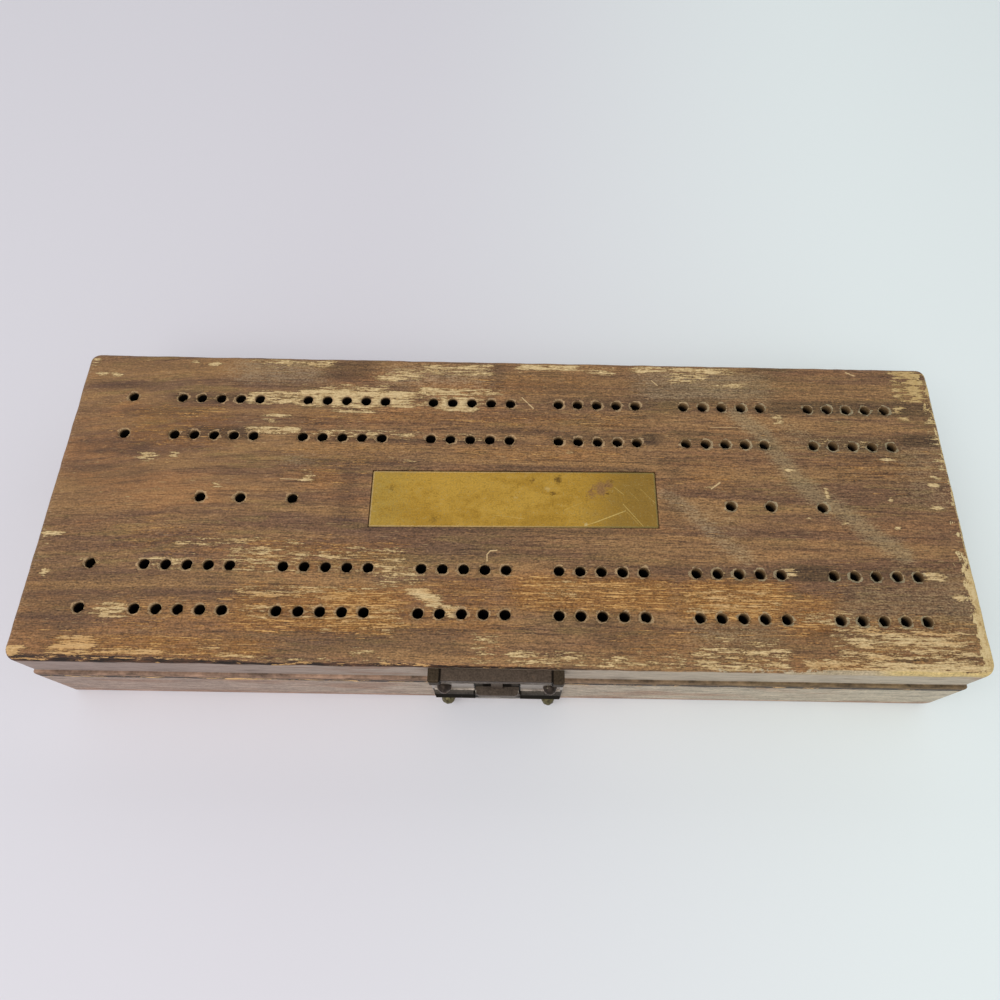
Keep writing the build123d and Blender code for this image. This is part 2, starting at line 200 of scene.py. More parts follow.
class Finish:
    """A material, with short ways to add nodes to it. Tones are display colours."""

    def __init__(self, name):
        self.material = bpy.data.materials.new(name)
        self.material.use_nodes = True
        self.tree = self.material.node_tree
        self.tree.nodes.clear()
        self.output = self.tree.nodes.new("ShaderNodeOutputMaterial")
        where = self.node("ShaderNodeTexCoord", output="Object")
        self.place = self.vector("SCALE", where, scale=1 / MM)
        parts = self.tree.nodes.new("ShaderNodeSeparateXYZ")
        self.tree.links.new(self.place.socket, parts.inputs[0])
        self.x, self.y, self.z = (Value(self, socket) for socket in parts.outputs)

    def node(self, kind, settings=None, inputs=(), output=0):
        """Adds a node, makes its settings, then fills its inputs, and gives one output."""
        node = self.tree.nodes.new(kind)
        for name, value in (settings or {}).items():
            setattr(node, name, value)
        named = inputs.items() if isinstance(inputs, dict) else enumerate(inputs)
        for name, value in named:
            if isinstance(value, Value):
                self.tree.links.new(value.socket, node.inputs[name])
            elif value is not None:
                node.inputs[name].default_value = value
        return Value(self, node.outputs[output])

    def vector(self, operation, first, second=None, third=None, scale=None):
        inputs = {0: first, 1: second, 2: third, "Scale": scale}
        return self.node("ShaderNodeVectorMath", {"operation": operation}, inputs)

    def attribute(self, name):
        """A number that the mesh carries at its points."""
        return self.node("ShaderNodeAttribute", {"attribute_name": name}, output="Fac")

    def point(self, x, y, z):
        return self.node("ShaderNodeCombineXYZ", {}, [x, y, z])

    def noise(
        self, sizes, detail=3.0, roughness=0.55, distortion=0.0, offset=(0, 0, 0), place=None
    ):
        """Cloudy noise about 0, mostly from -1 to 1, with cells of those sizes."""
        place = self.place if place is None else place
        inputs = {
            "Vector": self.vector("MULTIPLY_ADD", place, [1 / size for size in sizes], offset),
            "Scale": 1.0,
            "Detail": detail,
            "Roughness": roughness,
            "Distortion": distortion,
        }
        return self.node("ShaderNodeTexNoise", {}, inputs) * 4.0 - 2.0

    def mix(self, low, high, share):
        """The colour low where share is 0, high where it is 1."""
        inputs = {0: share, 6: linear(low), 7: linear(high)}
        return self.node("ShaderNodeMix", {"data_type": "RGBA"}, inputs, output=2)

    def lit(self, colour, share):
        """A colour made brighter or darker by a number that varies."""
        colour = colour if isinstance(colour, Value) else linear(colour)[:3]
        return self.vector("SCALE", colour, scale=share)

    def scratch(self, start, end, half_width):
        """1 along a thin straight line on the piece's top, 0 away from it."""
        (x0, y0), (x1, y1) = start, end
        run_x, run_y = x1 - x0, y1 - y0
        square = run_x * run_x + run_y * run_y
        off_x, off_y = self.x - x0, self.y - y0
        along = off_x * (run_x / square) + off_y * (run_y / square)
        along = along.at_least(0.0).at_most(1.0)
        gap_x, gap_y = off_x - along * run_x, off_y - along * run_y
        gap = (gap_x * gap_x + gap_y * gap_y) ** 0.5
        return gap.rise(half_width * 1.5, half_width * 0.4)

    def bump(self, height, depth):
        """A normal from a height, in units of depth millimetres."""
        inputs = {"Strength": 1.0, "Distance": depth * MM, "Height": height}
        return self.node("ShaderNodeBump", {}, inputs)

    def surface(self, **inputs):
        """The material's one shader. Keys are the shader's input names with _ for spaces."""
        named = {name.replace("_", " "): value for name, value in inputs.items()}
        shader = self.node("ShaderNodeBsdfPrincipled", {}, named)
        self.tree.links.new(shader.socket, self.output.inputs["Surface"])
        return self.material


# ---------------------------------------------------------------- worn places on the top board
# Each place is x from, x to, y from, y to and how strongly it shows, on the board's top.
PALE_PLACES = [
    # back edge, left to right
    (-140.8, -136.4, 47.6, 51.4, 0.7), (-137.6, -133.8, 43.6, 45.6, 0.82),
    (-133, -128.6, 43.4, 45.2, 0.82), (-107, -104, 49.4, 50.8, 0.6), (-101, -96.6, 48, 50.4, 0.75),
    (-85, -58, 48.4, 51.8, 0.62), (-80, -74, 46.4, 48, 0.45), (-45.6, -28, 44, 47, 0.8),
    (-40, -22, 46.6, 49.2, 0.66), (-30, -5, 46.4, 50.6, 0.7), (-33, -27, 44, 46.2, 0.55),
    (-14, -4, 49.6, 51.4, 0.7), (2, 24, 49.2, 51.6, 0.85), (26, 36, 47, 50.8, 0.58),
    (40, 75, 48.8, 51.6, 0.7), (52, 67, 45, 49.6, 0.66), (66, 80, 43, 46.4, 0.5),
    (84, 96, 50.6, 52, 0.35), (127, 139.4, 48.2, 51.8, 0.8), (132, 139.4, 39, 49.6, 0.84),
    (127.6, 133, 40, 48, 0.6),
    # row of holes nearest the back
    (-87, -66, 34, 39, 0.84), (-70, -31, 33.4, 40.2, 0.95), (-62, -38, 39, 42.2, 0.66),
    (-58, -43, 31, 33.6, 0.66), (-31, -3, 38.6, 41.4, 0.78), (-24, -9, 32.4, 38.2, 0.95),
    (-31, -24, 34, 38, 0.5), (-80.5, -71, 28.8, 30.4, 0.78), (-79, -74, 26.6, 28.4, 0.7),
    (3, 6, 35.4, 38.4, 0.55), (126.6, 131.2, 34.8, 37.6, 0.85), (86.6, 90.8, 30, 33.8, 0.78),
    # second row
    (-84, -66, 22.8, 25.6, 0.85), (-66, -28, 21.8, 25, 0.6), (-38, 6, 21, 24.4, 0.3),
    (96, 112, 21.8, 25, 0.5), (112, 127, 21.8, 24.4, 0.55), (-117.4, -110.2, 12, 15.4, 0.7),
    (-107.4, -104.2, 13.6, 16.2, 0.8), (-65, -60, 5.4, 10.4, 0.68), (-92.2, -88.6, 3.6, 5.4, 0.66),
    (-110, -107, 2, 3.4, 0.6), (-70.4, -66.8, 14, 15.4, 0.6), (-33, -29.6, 13.6, 15, 0.6),
    (18, 22, 17.6, 19.4, 0.62), (88, 92, 12.4, 13.8, 1.05), (119.6, 124, 17, 18.2, 1.2),
    (128.4, 132.4, 32.2, 33.4, 1.1), (107.4, 109, 30.8, 31.8, 1.1), (63, 65.6, 6, 7.4, 0.7),
    (99.8, 101.6, 3, 7.2, 0.95), (132.6, 136.6, 0, 1.2, 1.2), (133, 137, 8.2, 9.4, 1.2),
    (134.6, 137.4, 10.8, 12, 1), (119.8, 121.4, 2.4, 4, 1.1), (120, 121.8, -6.8, -5.2, 1.1),
    (103.6, 106.4, -5.4, -4.4, 0.95), (83, 86.4, -5.6, -4.6, 0.8),
    # left end
    (-141, -133.4, -14, -12, 0.95), (-137, -134.4, -26.8, -24.2, 0.8),
    (-138.4, -136.6, -17.4, -15.8, 0.6), (-138.6, -137, -22, -20.4, 0.5),
    # third row
    (-128, -119.6, -22.8, -20.6, 0.6), (-110, -92, -24, -19.4, 0.52),
    (-28.4, -21, -30.6, -28.4, 1.1), (-26, -18.6, -32.2, -30, 1.1),
    (-23.2, -17.2, -34, -31.4, 1.1), (-19.8, -14, -35.6, -33, 0.95),
    (-16.3, -12, -37.2, -33.8, 0.9), (-84, -58, -24.4, -16, 0.56), (-100, -56, -17, -13, 0.46),
    (-58, -28, -24, -15, 0.45), (-38, -24, -27.6, -20.6, 0.6), (82.8, 87.6, -23, -19.8, 0.8),
    (124.4, 132.8, -23.4, -20.2, 0.82),
    # between the third row and the front row
    (-80, -29, -32.6, -28.2, 0.55), (-118.6, -108, -38.8, -34, 0.84),
    (-116.6, -111.6, -41.6, -40, 0.55), (-76, -29, -38.6, -33.6, 0.5),
    (-53, -29, -41.8, -37.6, 0.4), (10, 26, -30.4, -24, 0.36), (52, 83, -35, -27, 0.5),
    (54, 70, -30.4, -28.6, 0.62), (86, 106, -37.4, -32.4, 0.56), (95, 137, -47.2, -37.6, 0.6),
    (99, 133, -43, -39, 0.78), (54, 82, -44, -38.4, 0.4),
    # front edge
    (-127.2, -115.6, -48, -44.2, 0.95), (-131, -96, -49.6, -47.6, 0.78),
    (-97, -68, -50, -48.4, 0.56), (-87.4, -79, -48, -45, 0.6), (-70, -30, -50.6, -49, 0.5),
    (-44, -36, -49.4, -46, 0.5), (-10, 0, -50.6, -41, 0.5), (0, 26, -51.2, -46, 0.6),
    (26, 54, -51.4, -46.4, 0.48), (38, 41, -47.2, -45.4, 0.8), (41, 45, -49.4, -47, 0.7),
    (54, 84, -51.6, -44, 0.62), (70, 78, -47.8, -44.2, 0.66), (84, 112, -51.8, -47, 0.7),
    (108, 142, -53, -48, 0.95), (122, 137, -49, -43.6, 0.74), (-142, -136, -50.8, -46.6, 0.78),
    # right end
    (137.4, 143, 14, 34, 0.5), (133.2, 137, -29.8, -27.2, 0.9),
]
GOLDEN_PLACES = [
    (-82, -26, -43, -27.6, 0.62), (-56, -28, -42.4, -28.4, 0.85), (-118, -80, -44, -32, 0.36),
    (-82, -28, -25, -13, 0.42), (-120, -80, -19, -9, 0.3), (0, 54, -35, -23.6, 0.7),
    (-28, 0, -42, -24, 0.45), (50, 86, -37, -24, 0.85), (80, 100, -42, -28, 0.62),
    (96, 138, -48, -34, 0.42), (30, 86, -50, -38, 0.3), (-132, -64, -51, -43, 0.6),
    (84, 112, -51.4, -47, 0.6), (-70, -30, 12, 21, 0.3), (-126, -88, 17, 33.6, 0.42),
    (-72, 46, 26.4, 33, 0.36), (-20, 30, 40.6, 47, 0.34), (-68, -50, 4, 12, 0.4),
    (-20, 40, 14, 20.6, 0.36), (56, 76, 4, 16, 0.3), (100, 134, 10, 20, 0.3),
]
DARK_PLACES = [
    # the straight bands that the rows of holes lie in
    (10, 84, 34.4, 39.2, 0.42), (84, 142, 33.6, 39.4, 0.75), (100, 132, 34.6, 38.6, 0.45),
    (-8, 16, 24.2, 26.6, 0.6), (12, 50, 20.6, 25.6, 0.52), (42, 50, 21, 25.8, 0.85),
    (52, 68, 24.8, 27, 0.6), (56, 88, 20.4, 26, 0.36), (74, 88, 20.2, 21.6, 0.8),
    (96, 128, 20.2, 25.8, 0.62), (126, 142, 22.4, 27, 0.95), (10, 60, -22, -18.6, 0.36),
    (56, 134, -24, -19.4, 0.45), (83, 100, -24.2, -19.2, 0.9), (-112, -80, 33.6, 38.6, 0.6),
    (-108, -92, 34.6, 38, 0.55), (-106, -80, 20.6, 25.2, 0.85), (-66, -22, 20.4, 22.2, 0.72),
    (-34, 8, 20.4, 22.4, 0.42),
    # smudges and stain left dark
    (-138, -116, 38.6, 42.6, 0.5), (-136, -100, 46, 50, 0.36), (-128, -98, 28.4, 31.8, 0.5),
    (-140, -112, 14, 20, 0.48), (-139, -110, 3, 11, 0.4), (-62, -43, 43.6, 51.6, 0.6),
    (-60, -52, 44, 49, 0.3), (-8, 0, 41, 51.6, 0.5), (-68, -30, 11.8, 14.4, 0.5),
    (-54, -44.6, -8, 12, 0.5), (49, 56, -8, 14, 0.42), (-6, 46, 11, 13.2, 0.5),
    (-50, 48, -10.4, -8.4, 0.5), (44, 64, 42, 45.4, 0.5), (38, 50, 31, 32.8, 0.6),
    (46, 60, 14, 17, 0.4), (80, 96, 50, 52, 0.6), (-140, -80, -28.6, -24.6, 0.42),
    (-140, -60, -34, -28.6, 0.4), (-140, -118, -44, -30, 0.45), (-64, -8, -48, -40, 0.4),
    (-90, -40, -47.6, -42.4, 0.3), (-30, 10, -20, -11, 0.2), (24, 48, -46, -36, 0.38),
    (56, 112, -49, -36.6, 0.34), (0, 54, 39.6, 48.6, 0.36), (80, 128, 39.6, 50, 0.24),
    (97, 110, -36, -27, 0.25), (112, 122, -48, -46.2, 0.8), (126, 137, -47, -44.6, 0.55),
]
GREY_PLACES = [
    (-94, -60, 42, 51.6, 0.58), (-44, -4, 41.8, 50, 0.55), (42, 88, 38.4, 50, 0.72),
    (124, 142, 0, 24, 0.42), (98, 142, -37, -25, 0.42), (124, 142, -38, -20, 0.5),
    (54, 82, -44.4, -38, 0.5), (-72, -60, 12, 15.6, 0.5), (-142, -139, -52, 52, 0.3),
    (80, 126, 19, 26, 0.3),
]
# Paths of a rubbed, hazy streak: points, half width and strength.
HAZE_PATHS = [
    (
        [(75, 33), (82, 27), (86, 20), (91, 11), (97, 4), (105, -1.5), (113, -9), (121, -15)],
        4,
        0.85,
    ),
    ([(112, -9), (120, -16), (119, -20)], 3.6, 0.3),
    ([(50, 4), (57, -1.5), (65, -10), (73, -17)], 3.4, 0.58),
    ([(57, -1), (66, -3), (72, -9)], 3, 0.3), ([(82, 40), (90, 30), (97, 25)], 3.6, 0.4),
]
# Short pale scratches on the board: from, to and half width.
BOARD_SCRATCHES = [
    ((4.4, 38.2), (8.2, 34.2), 0.22), ((64.4, 6), (67.2, 8.2), 0.3),
    ((47.6, 46), (49.6, 44), 0.16), ((113.8, 50.6), (116.4, 49.4), 0.25),
    ((-2.4, -15.9), (-4.3, -16.1), 0.22), ((-4.3, -16.1), (-5.3, -17.3), 0.22),
    ((-5.3, -17.3), (-5.2, -19.4), 0.2), ((-71, 6.8), (-64, 6.7), 0.13),
    ((66, 28.2), (75, 28.4), 0.09),
]
# Spots on the name plate: place, radius, tone and strength.
PLATE_SPOTS = [
    ((29.4, 5.2), 2.5, (150, 112, 76), 0.8), ((26.8, 3.2), 1.6, (146, 106, 70), 0.75),
    ((32.2, 7), 1.5, (146, 108, 72), 0.7), ((31.8, 3.6), 0.6, (100, 74, 30), 0.75),
    ((16.2, 8.4), 1.2, (96, 70, 30), 0.8), ((8.3, 7.8), 0.8, (112, 82, 34), 0.8),
    ((13, 4.9), 0.9, (214, 184, 118), 0.55), ((14.6, 3.4), 0.8, (104, 76, 32), 0.7),
    ((3, 1.9), 0.55, (214, 186, 120), 0.5), ((33, 8), 0.6, (104, 74, 36), 0.8),
    ((24.7, -7), 0.5, (230, 204, 140), 0.8), ((-22, -6.5), 1.1, (128, 98, 40), 0.5),
    ((-36, 4), 0.8, (126, 98, 44), 0.5),
]
# Scratches on the name plate: from, to, half width and strength.
PLATE_SCRATCHES = [
    ((27.4, -6.2), (37, -2.1), 0.16, 0.7), ((24.6, -7.2), (27.4, -6.2), 0.12, 0.5),
    ((36.4, 0.2), (42.3, -7.1), 0.1, 0.6), ((42, 5.6), (46.6, 0.6), 0.08, 0.3),
    ((33.8, 6), (36.7, 3.5), 0.1, 0.5), ((37.4, -2.4), (41, -6.6), 0.08, 0.35),
    ((38.6, 4.4), (41.4, 1.4), 0.07, 0.3), ((-4, -4.2), (6, -5.4), 0.09, 0.3),
    ((18, -2.2), (24, 0.6), 0.09, 0.35),
]


def place_field(x, y, places, along=5.0, across=0.9):
    """How strongly each point of the board lies in those places, the strongest one counting.
    A place fades over those lengths, long along the grain and short across it."""
    most_along, most_across = 1.4, 1.2
    field = np.zeros_like(x)
    for x_from, x_to, y_from, y_to, strength in places:
        half_x, half_y = (x_to - x_from) / 2, (y_to - y_from) / 2
        fade_x = min(along, half_x * most_along)
        fade_y = min(across, half_y * most_across)
        off_x = np.abs(x - (x_from + x_to) / 2)
        off_y = np.abs(y - (y_from + y_to) / 2)
        share_x = np.clip((half_x + fade_x / 2 - off_x) / fade_x, 0, 1)
        share_y = np.clip((half_y + fade_y / 2 - off_y) / fade_y, 0, 1)
        field = np.maximum(field, strength * share_x * share_y)
    return field


def path_field(x, y, paths):
    """How strongly each point of the board lies along those paths."""
    reach = 1.3
    field = np.zeros_like(x)
    for points, half_width, strength in paths:
        gap = np.full_like(x, np.inf)
        for (x0, y0), (x1, y1) in zip(points, points[1:]):
            run_x, run_y = x1 - x0, y1 - y0
            along = ((x - x0) * run_x + (y - y0) * run_y) / (run_x**2 + run_y**2)
            along = np.clip(along, 0, 1)
            gap = np.minimum(gap, np.hypot(x - x0 - along * run_x, y - y0 - along * run_y))
        field = np.maximum(field, strength * np.clip(reach - gap / half_width, 0, 1))
    return field


# ---------------------------------------------------------------- meshes
def roughness_at(x, y, z):
    """Smooth noise about 0 at one place."""
    return plain_noise.noise(Vector((x, y, z)))


def add_piece(name, mesh, body, replaced):
    """A finished piece that rides on a body and stands for those CAD nodes."""
    piece = bpy.data.objects.new(name, mesh)
    bpy.context.scene.collection.objects.link(piece)
    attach(piece, body)
    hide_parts(*replaced)
    return piece


def board_rim():
    """Points round the board's outline, each with its outward direction."""
    spacing = 1.6
    arc_steps = 7
    arcs = []
    for x, y, radius, start in board_corners:
        centre_x = x - math.copysign(radius, x)
        centre_y = y - math.copysign(radius, y)
        arc = []
        for step in range(arc_steps + 1):
            angle = math.radians(start + 90 * step / arc_steps)
            out_x, out_y = math.cos(angle), math.sin(angle)
            arc.append((centre_x + radius * out_x, centre_y + radius * out_y, out_x, out_y))
        arcs.append(arc)
    rim = []
    for arc, following in zip(arcs, arcs[1:] + arcs[:1]):
        rim += arc
        start, end = arc[-1], following[0]
        run_x, run_y = end[0] - start[0], end[1] - start[1]
        count = round(math.hypot(run_x, run_y) / spacing)
        for step in range(1, count):
            share = step / count
            rim.append((start[0] + run_x * share, start[1] + run_y * share, *start[2:]))
    return rim


def plate_loop():
    """The outline of the name plate's recess, anticlockwise."""
    spacing = 1.5
    half_x = plate_length / 2 + plate_clearance
    half_y = plate_width / 2 + plate_clearance
    corners = [(-half_x, -half_y), (half_x, -half_y), (half_x, half_y), (-half_x, half_y)]
    loop = []
    for (x0, y0), (x1, y1) in zip(corners, corners[1:] + corners[:1]):
        count = round(math.hypot(x1 - x0, y1 - y0) / spacing)
        loop += [(x0 + (x1 - x0) * s / count, y0 + (y1 - y0) * s / count) for s in range(count)]
    cos, sin = math.cos(plate_turn), math.sin(plate_turn)
    middle_x, middle_y = plate_middle.x, plate_middle.y
    return [(middle_x + x * cos - y * sin, middle_y + x * sin + y * cos) for x, y in loop]


def plate_place(x, y):
    """Places on the board as seen from the plate's own middle and along its own sides."""
    off_x, off_y = x - plate_middle.x, y - plate_middle.y
    cos, sin = math.cos(plate_turn), math.sin(plate_turn)
    return off_x * cos + off_y * sin, off_y * cos - off_x * sin


def near_plate(x, y, beyond_end, beyond_side):
    """Which places lie on the name plate or no farther beyond its ends and sides."""
    along, across = plate_place(x, y)
    by_length = np.abs(along) < plate_length / 2 + beyond_end
    return by_length & (np.abs(across) < plate_width / 2 + beyond_side)


def hole_outline(x, y, number):
    """The ragged mouth of one peg hole, where wood has chipped off."""
    loop = []
    for angle in hole_angles:
        cos, sin = math.cos(angle), math.sin(angle)
        ragged = roughness_at(cos * 1.4, sin * 1.4, number * 3.7)
        radius = hole_radius + hole_mouth * (0.75 + 0.7 * ragged)
        loop.append((x + radius * cos, y + radius * sin))
    return loop


def net_points(holes):
    """Points of the flat top between its outlines, closer together across the grain."""
    pitch_x, pitch_y = 1.4, 0.6
    end_margin, side_margin, hole_margin, corner_margin = 0.7, 0.6, 0.45, 0.6
    inset = board_top_round
    xs = np.arange(board_low.x + inset + 0.9, board_high.x - inset - 0.8, pitch_x)
    ys = np.arange(board_low.y + inset + 0.8, board_high.y - inset - 0.7, pitch_y)
    x, y = (part.ravel() for part in np.meshgrid(xs, ys))
    keep = ~near_plate(x, y, end_margin, side_margin)
    for hole_x, hole_y in holes:
        keep &= np.hypot(x - hole_x, y - hole_y) > hole_radius + hole_mouth + hole_margin
    for corner_x, corner_y, radius, _ in board_corners:
        towards_x, towards_y = math.copysign(1, corner_x), math.copysign(1, corner_y)
        off_x = x - (corner_x - radius * towards_x)
        off_y = y - (corner_y - radius * towards_y)
        in_corner = (off_x * towards_x > 0) & (off_y * towards_y > 0)
        reach = radius - board_top_round - corner_margin
        keep &= ~(in_corner & (np.hypot(off_x, off_y) > reach))
    return list(zip(x[keep].tolist(), y[keep].tolist()))


def edge_profile():
    """The board's edge from the top down: inset, height and how much of each dent it takes."""
    top_steps, bottom_steps = 5, 3
    side_top, side_bottom = board_top - board_top_round, board_low.z + board_bottom_round
    profile = []
    for step in range(1, top_steps + 1):
        angle = math.pi / 2 * step / top_steps
        inset = board_top_round * (1 - math.sin(angle))
        profile.append((inset, board_top - board_top_round * (1 - math.cos(angle)), 1.0))
    for share, dent_share in ((0.2, 0.6), (0.5, 0.3), (0.8, 0.15), (1.0, 0.1)):
        profile.append((0.0, side_top + (side_bottom - side_top) * share, dent_share))
    for step in range(1, bottom_steps + 1):
        angle = math.pi / 2 * step / bottom_steps
        inset = board_bottom_round * (1 - math.cos(angle))
        profile.append((inset, side_bottom - board_bottom_round * math.sin(angle), 0.1))
    return profile


def make_board():
    """The top board: a fine flat net on top that carries the wear, holes, recess and edges."""
    rim = board_rim()
    dents = []
    for x, y, _, _ in rim:
        dent = 0.1 + 0.16 * roughness_at(x / 7, y / 7, 1.5)
        dents.append(max(dent + 0.1 * roughness_at(x / 2.3, y / 2.3, 4.5), 0.0))
    holes = peg_hole_places()
    recess = plate_loop()

    def rim_loop(inset, dent_share):
        """The board's outline, moved in by that much and by its dents."""
        loop = []
        for (x, y, out_x, out_y), dent in zip(rim, dents):
            moved = inset + dent * dent_share
            loop.append((x - moved * out_x, y - moved * out_y))
        return loop

    # the flat top, with the outlines as edges that the net keeps
    hole_loops = [hole_outline(x, y, number) for number, (x, y) in enumerate(holes)]
    flat, edges, loops = [], [], []
    for loop in [rim_loop(board_top_round, 1.0), *hole_loops, recess]:
        indices = list(range(len(flat), len(flat) + len(loop)))
        flat += loop
        edges += list(zip(indices, indices[1:] + indices[:1]))
        loops.append(indices)
    flat += net_points(holes)
    inside_outline, same_place = 1, 1e-5
    flat_points, _, flat_faces, origins, _, _ = delaunay_2d_cdt(
        [Vector(point) for point in flat], edges, [loops[0]], inside_outline, same_place
    )
    place_of = {source: number for number, some in enumerate(origins) for source in some}
    rim_places, *hole_places, recess_places = ([place_of[i] for i in loop] for loop in loops)
    points = [(point.x, point.y, board_top) for point in flat_points]

    # its faces, but for those in the holes and in the recess
    hole_x, hole_y = (np.array(axis) for axis in zip(*holes))
    centres = [[sum(points[i][axis] for i in face) / 3 for axis in (0, 1)] for face in flat_faces]
    centres = np.array(centres)
    gaps = np.min(np.hypot(centres[:, :1] - hole_x, centres[:, 1:] - hole_y), axis=1)
    covered = near_plate(centres[:, 0], centres[:, 1], plate_clearance, plate_clearance)
    faces = []
    for face, gap, hidden in zip(flat_faces, gaps, covered):
        if gap < hole_radius or hidden:
            continue
        (ax, ay, _), (bx, by, _), (cx, cy, _) = (points[i] for i in face)
        area = (bx - ax) * (cy - ay) - (cx - ax) * (by - ay)
        faces.append(tuple(face) if area > 0 else tuple(reversed(face)))

    def wall(upper, loop, height, outward=False):
        """Adds a loop of points below another and the wall between, and gives its indices."""
        lower = list(range(len(points), len(points) + len(loop)))
        points.extend((x, y, height) for x, y in loop)
        sides = zip(upper, upper[1:] + upper[:1], lower, lower[1:] + lower[:1])
        faces.extend((c, d, b, a) if outward else (a, b, d, c) for a, b, c, d in sides)
        return lower

    last = rim_places
    for inset, height, dent_share in edge_profile():
        last = wall(last, rim_loop(inset, dent_share), height, outward=True)
    faces.append(tuple(reversed(last)))
    for (x, y), last in zip(holes, hole_places):
        for depth in (hole_mouth, hole_light_depth, hole_depth):
            ring = [
                (x + hole_radius * math.cos(angle), y + hole_radius * math.sin(angle))
                for angle in hole_angles
            ]
            last = wall(last, ring, board_top - depth)
        faces.append(tuple(last))
    faces.append(tuple(wall(recess_places, recess, board_top - plate_recess)))

    mesh = bpy.data.meshes.new("worn_top_board")
    mesh.from_pydata([(x * MM, y * MM, z * MM) for x, y, z in points], [], faces)
    mesh.update()
    mesh.shade_smooth()
    mesh.set_sharp_from_angle(angle=sharp_edge)

    # wear that the finish reads at each point
    x, y, _ = (np.array(axis) for axis in zip(*points))
    hole_gap = np.min(np.hypot(x[:, None] - hole_x, y[:, None] - hole_y), axis=1) - hole_radius
    stained = place_field(x, y, GREY_PLACES, 10.0, 4.0)
    lips = np.zeros_like(x)
    for number, ((_, row), places) in enumerate(zip(holes, hole_places)):
        for angle, place in zip(hole_angles, places):
            cos, sin = math.cos(angle), math.sin(angle)
            leaning = -0.2 * cos - 0.14 * sin if row < 0 else 0.1 * cos
            chipped = 0.64 + 0.9 * roughness_at(cos, sin, number * 5.1) + leaning
            lips[place] = min(max(chipped, 0.0), 1.0)
    wear = {
        "pale": place_field(x, y, PALE_PLACES),
        "golden": place_field(x, y, GOLDEN_PLACES, 14.0, 4.0),
        "dark": place_field(x, y, DARK_PLACES, 8.0, 1.6),
        "grey": np.maximum(stained, path_field(x, y, HAZE_PATHS)),
        "hole": np.clip(1 - hole_gap / hole_wear_reach, 0, 1),
        "lip": lips,
    }
    for name, values in wear.items():
        layer = mesh.attributes.new(name, "FLOAT", "POINT")
        layer.data.foreach_set("value", values.astype(np.float32))
    mesh.materials.append(make_board_finish())
    add_piece("worn_top_board", mesh, "case", ("top_board",))


# ---------------------------------------------------------------- domed pins
def domed_pin_tree(material):
    """Geometry Nodes: on every point, a hand-set pin with a domed, dented head towards -Y."""
    tree = bpy.data.node_groups.new("domed_pins", "GeometryNodeTree")
    sizes = ("Head Radius", "Head Height", "Shank Radius", "Shank Length", "Dent Depth")
    sockets = [("Geometry", "INPUT", "Geometry")]
    sockets += [(size, "INPUT", "Float") for size in sizes]
    sockets += [("Seed", "INPUT", "Int"), ("Geometry", "OUTPUT", "Geometry")]
    for name, direction, kind in sockets:
        tree.interface.new_socket(name, in_out=direction, socket_type="NodeSocket" + kind)
    given = tree.nodes.new("NodeGroupInput").outputs

    def add(kind, inputs, **settings):
        """Adds a node and gives its outputs. An input is a value or another node's output."""
        node = tree.nodes.new(kind)
        for name, value in settings.items():
            setattr(node, name, value)
        for name, value in inputs.items():
            for link in value if isinstance(value, list) else [value]:
                if isinstance(link, bpy.types.NodeSocket):
                    tree.links.new(link, node.inputs[name])
                else:
                    node.inputs[name].default_value = link
        return node.outputs

    def maths(operation, first, second):
        return add("ShaderNodeMath", {0: first, 1: second}, operation=operation)[0]

    def point(x, y, z):
        return add("ShaderNodeCombineXYZ", {0: x, 1: y, 2: z})[0]

    def between(low, high):
        """A random number for each point."""
        inputs = {2: low, 3: high, "Seed": given["Seed"]}
        return add("FunctionNodeRandomValue", inputs, data_type="FLOAT")[1]

    flatness = 0.16
    smallest, largest = 0.96, 1.02
    dents_per_metre, undented = 900.0, 0.6

    # a unit ball with its lower part pressed nearly flat, scaled to the head
    ball = add("GeometryNodeMeshUVSphere", {"Segments": 32, "Rings": 20, "Radius": 1.0})["Mesh"]
    x, y, z = add("ShaderNodeSeparateXYZ", {0: add("GeometryNodeInputPosition", {})[0]})
    pressed = point(x, y, maths("MAXIMUM", z, maths("MULTIPLY", z, flatness)))
    dome = add("GeometryNodeSetPosition", {"Geometry": ball, "Position": pressed})[0]
    size = point(given["Head Radius"], given["Head Radius"], given["Head Height"])
    head = add("GeometryNodeTransform", {"Geometry": dome, "Scale": size})[0]
    shank_sizes = {"Radius": given["Shank Radius"], "Depth": given["Shank Length"]}
    shank = add("GeometryNodeMeshCylinder", {"Vertices": 20, **shank_sizes})["Mesh"]
    down = point(0.0, 0.0, maths("MULTIPLY", given["Shank Length"], -0.5))
    sunk = add("GeometryNodeTransform", {"Geometry": shank, "Translation": down})[0]
    pin = add("GeometryNodeJoinGeometry", {0: [head, sunk]})[0]

    # one on each point, turned and sized a little differently, then dented
    turn = point(math.pi / 2, between(0.0, 2 * math.pi), 0.0)
    placing = {"Points": given["Geometry"], "Rotation": turn, "Scale": between(smallest, largest)}
    placed = add("GeometryNodeInstanceOnPoints", {"Instance": pin, **placing})[0]
    pins = add("GeometryNodeRealizeInstances", {0: placed})[0]
    dents = add("ShaderNodeTexNoise", {"Scale": dents_per_metre, "Detail": 2.0})[0]
    depth = maths("MULTIPLY", maths("SUBTRACT", dents, undented), given["Dent Depth"])
    outward = add("GeometryNodeInputNormal", {})[0]
    push = add("ShaderNodeVectorMath", {0: outward, "Scale": depth}, operation="SCALE")[0]
    dented = add("GeometryNodeSetPosition", {"Geometry": pins, "Offset": push})[0]
    smooth = add("GeometryNodeSetShadeSmooth", {"Geometry": dented})[0]
    coated = add("GeometryNodeSetMaterial", {"Geometry": smooth, "Material": material})[0]
    tree.links.new(coated, tree.nodes.new("NodeGroupOutput").inputs[0])
    return tree


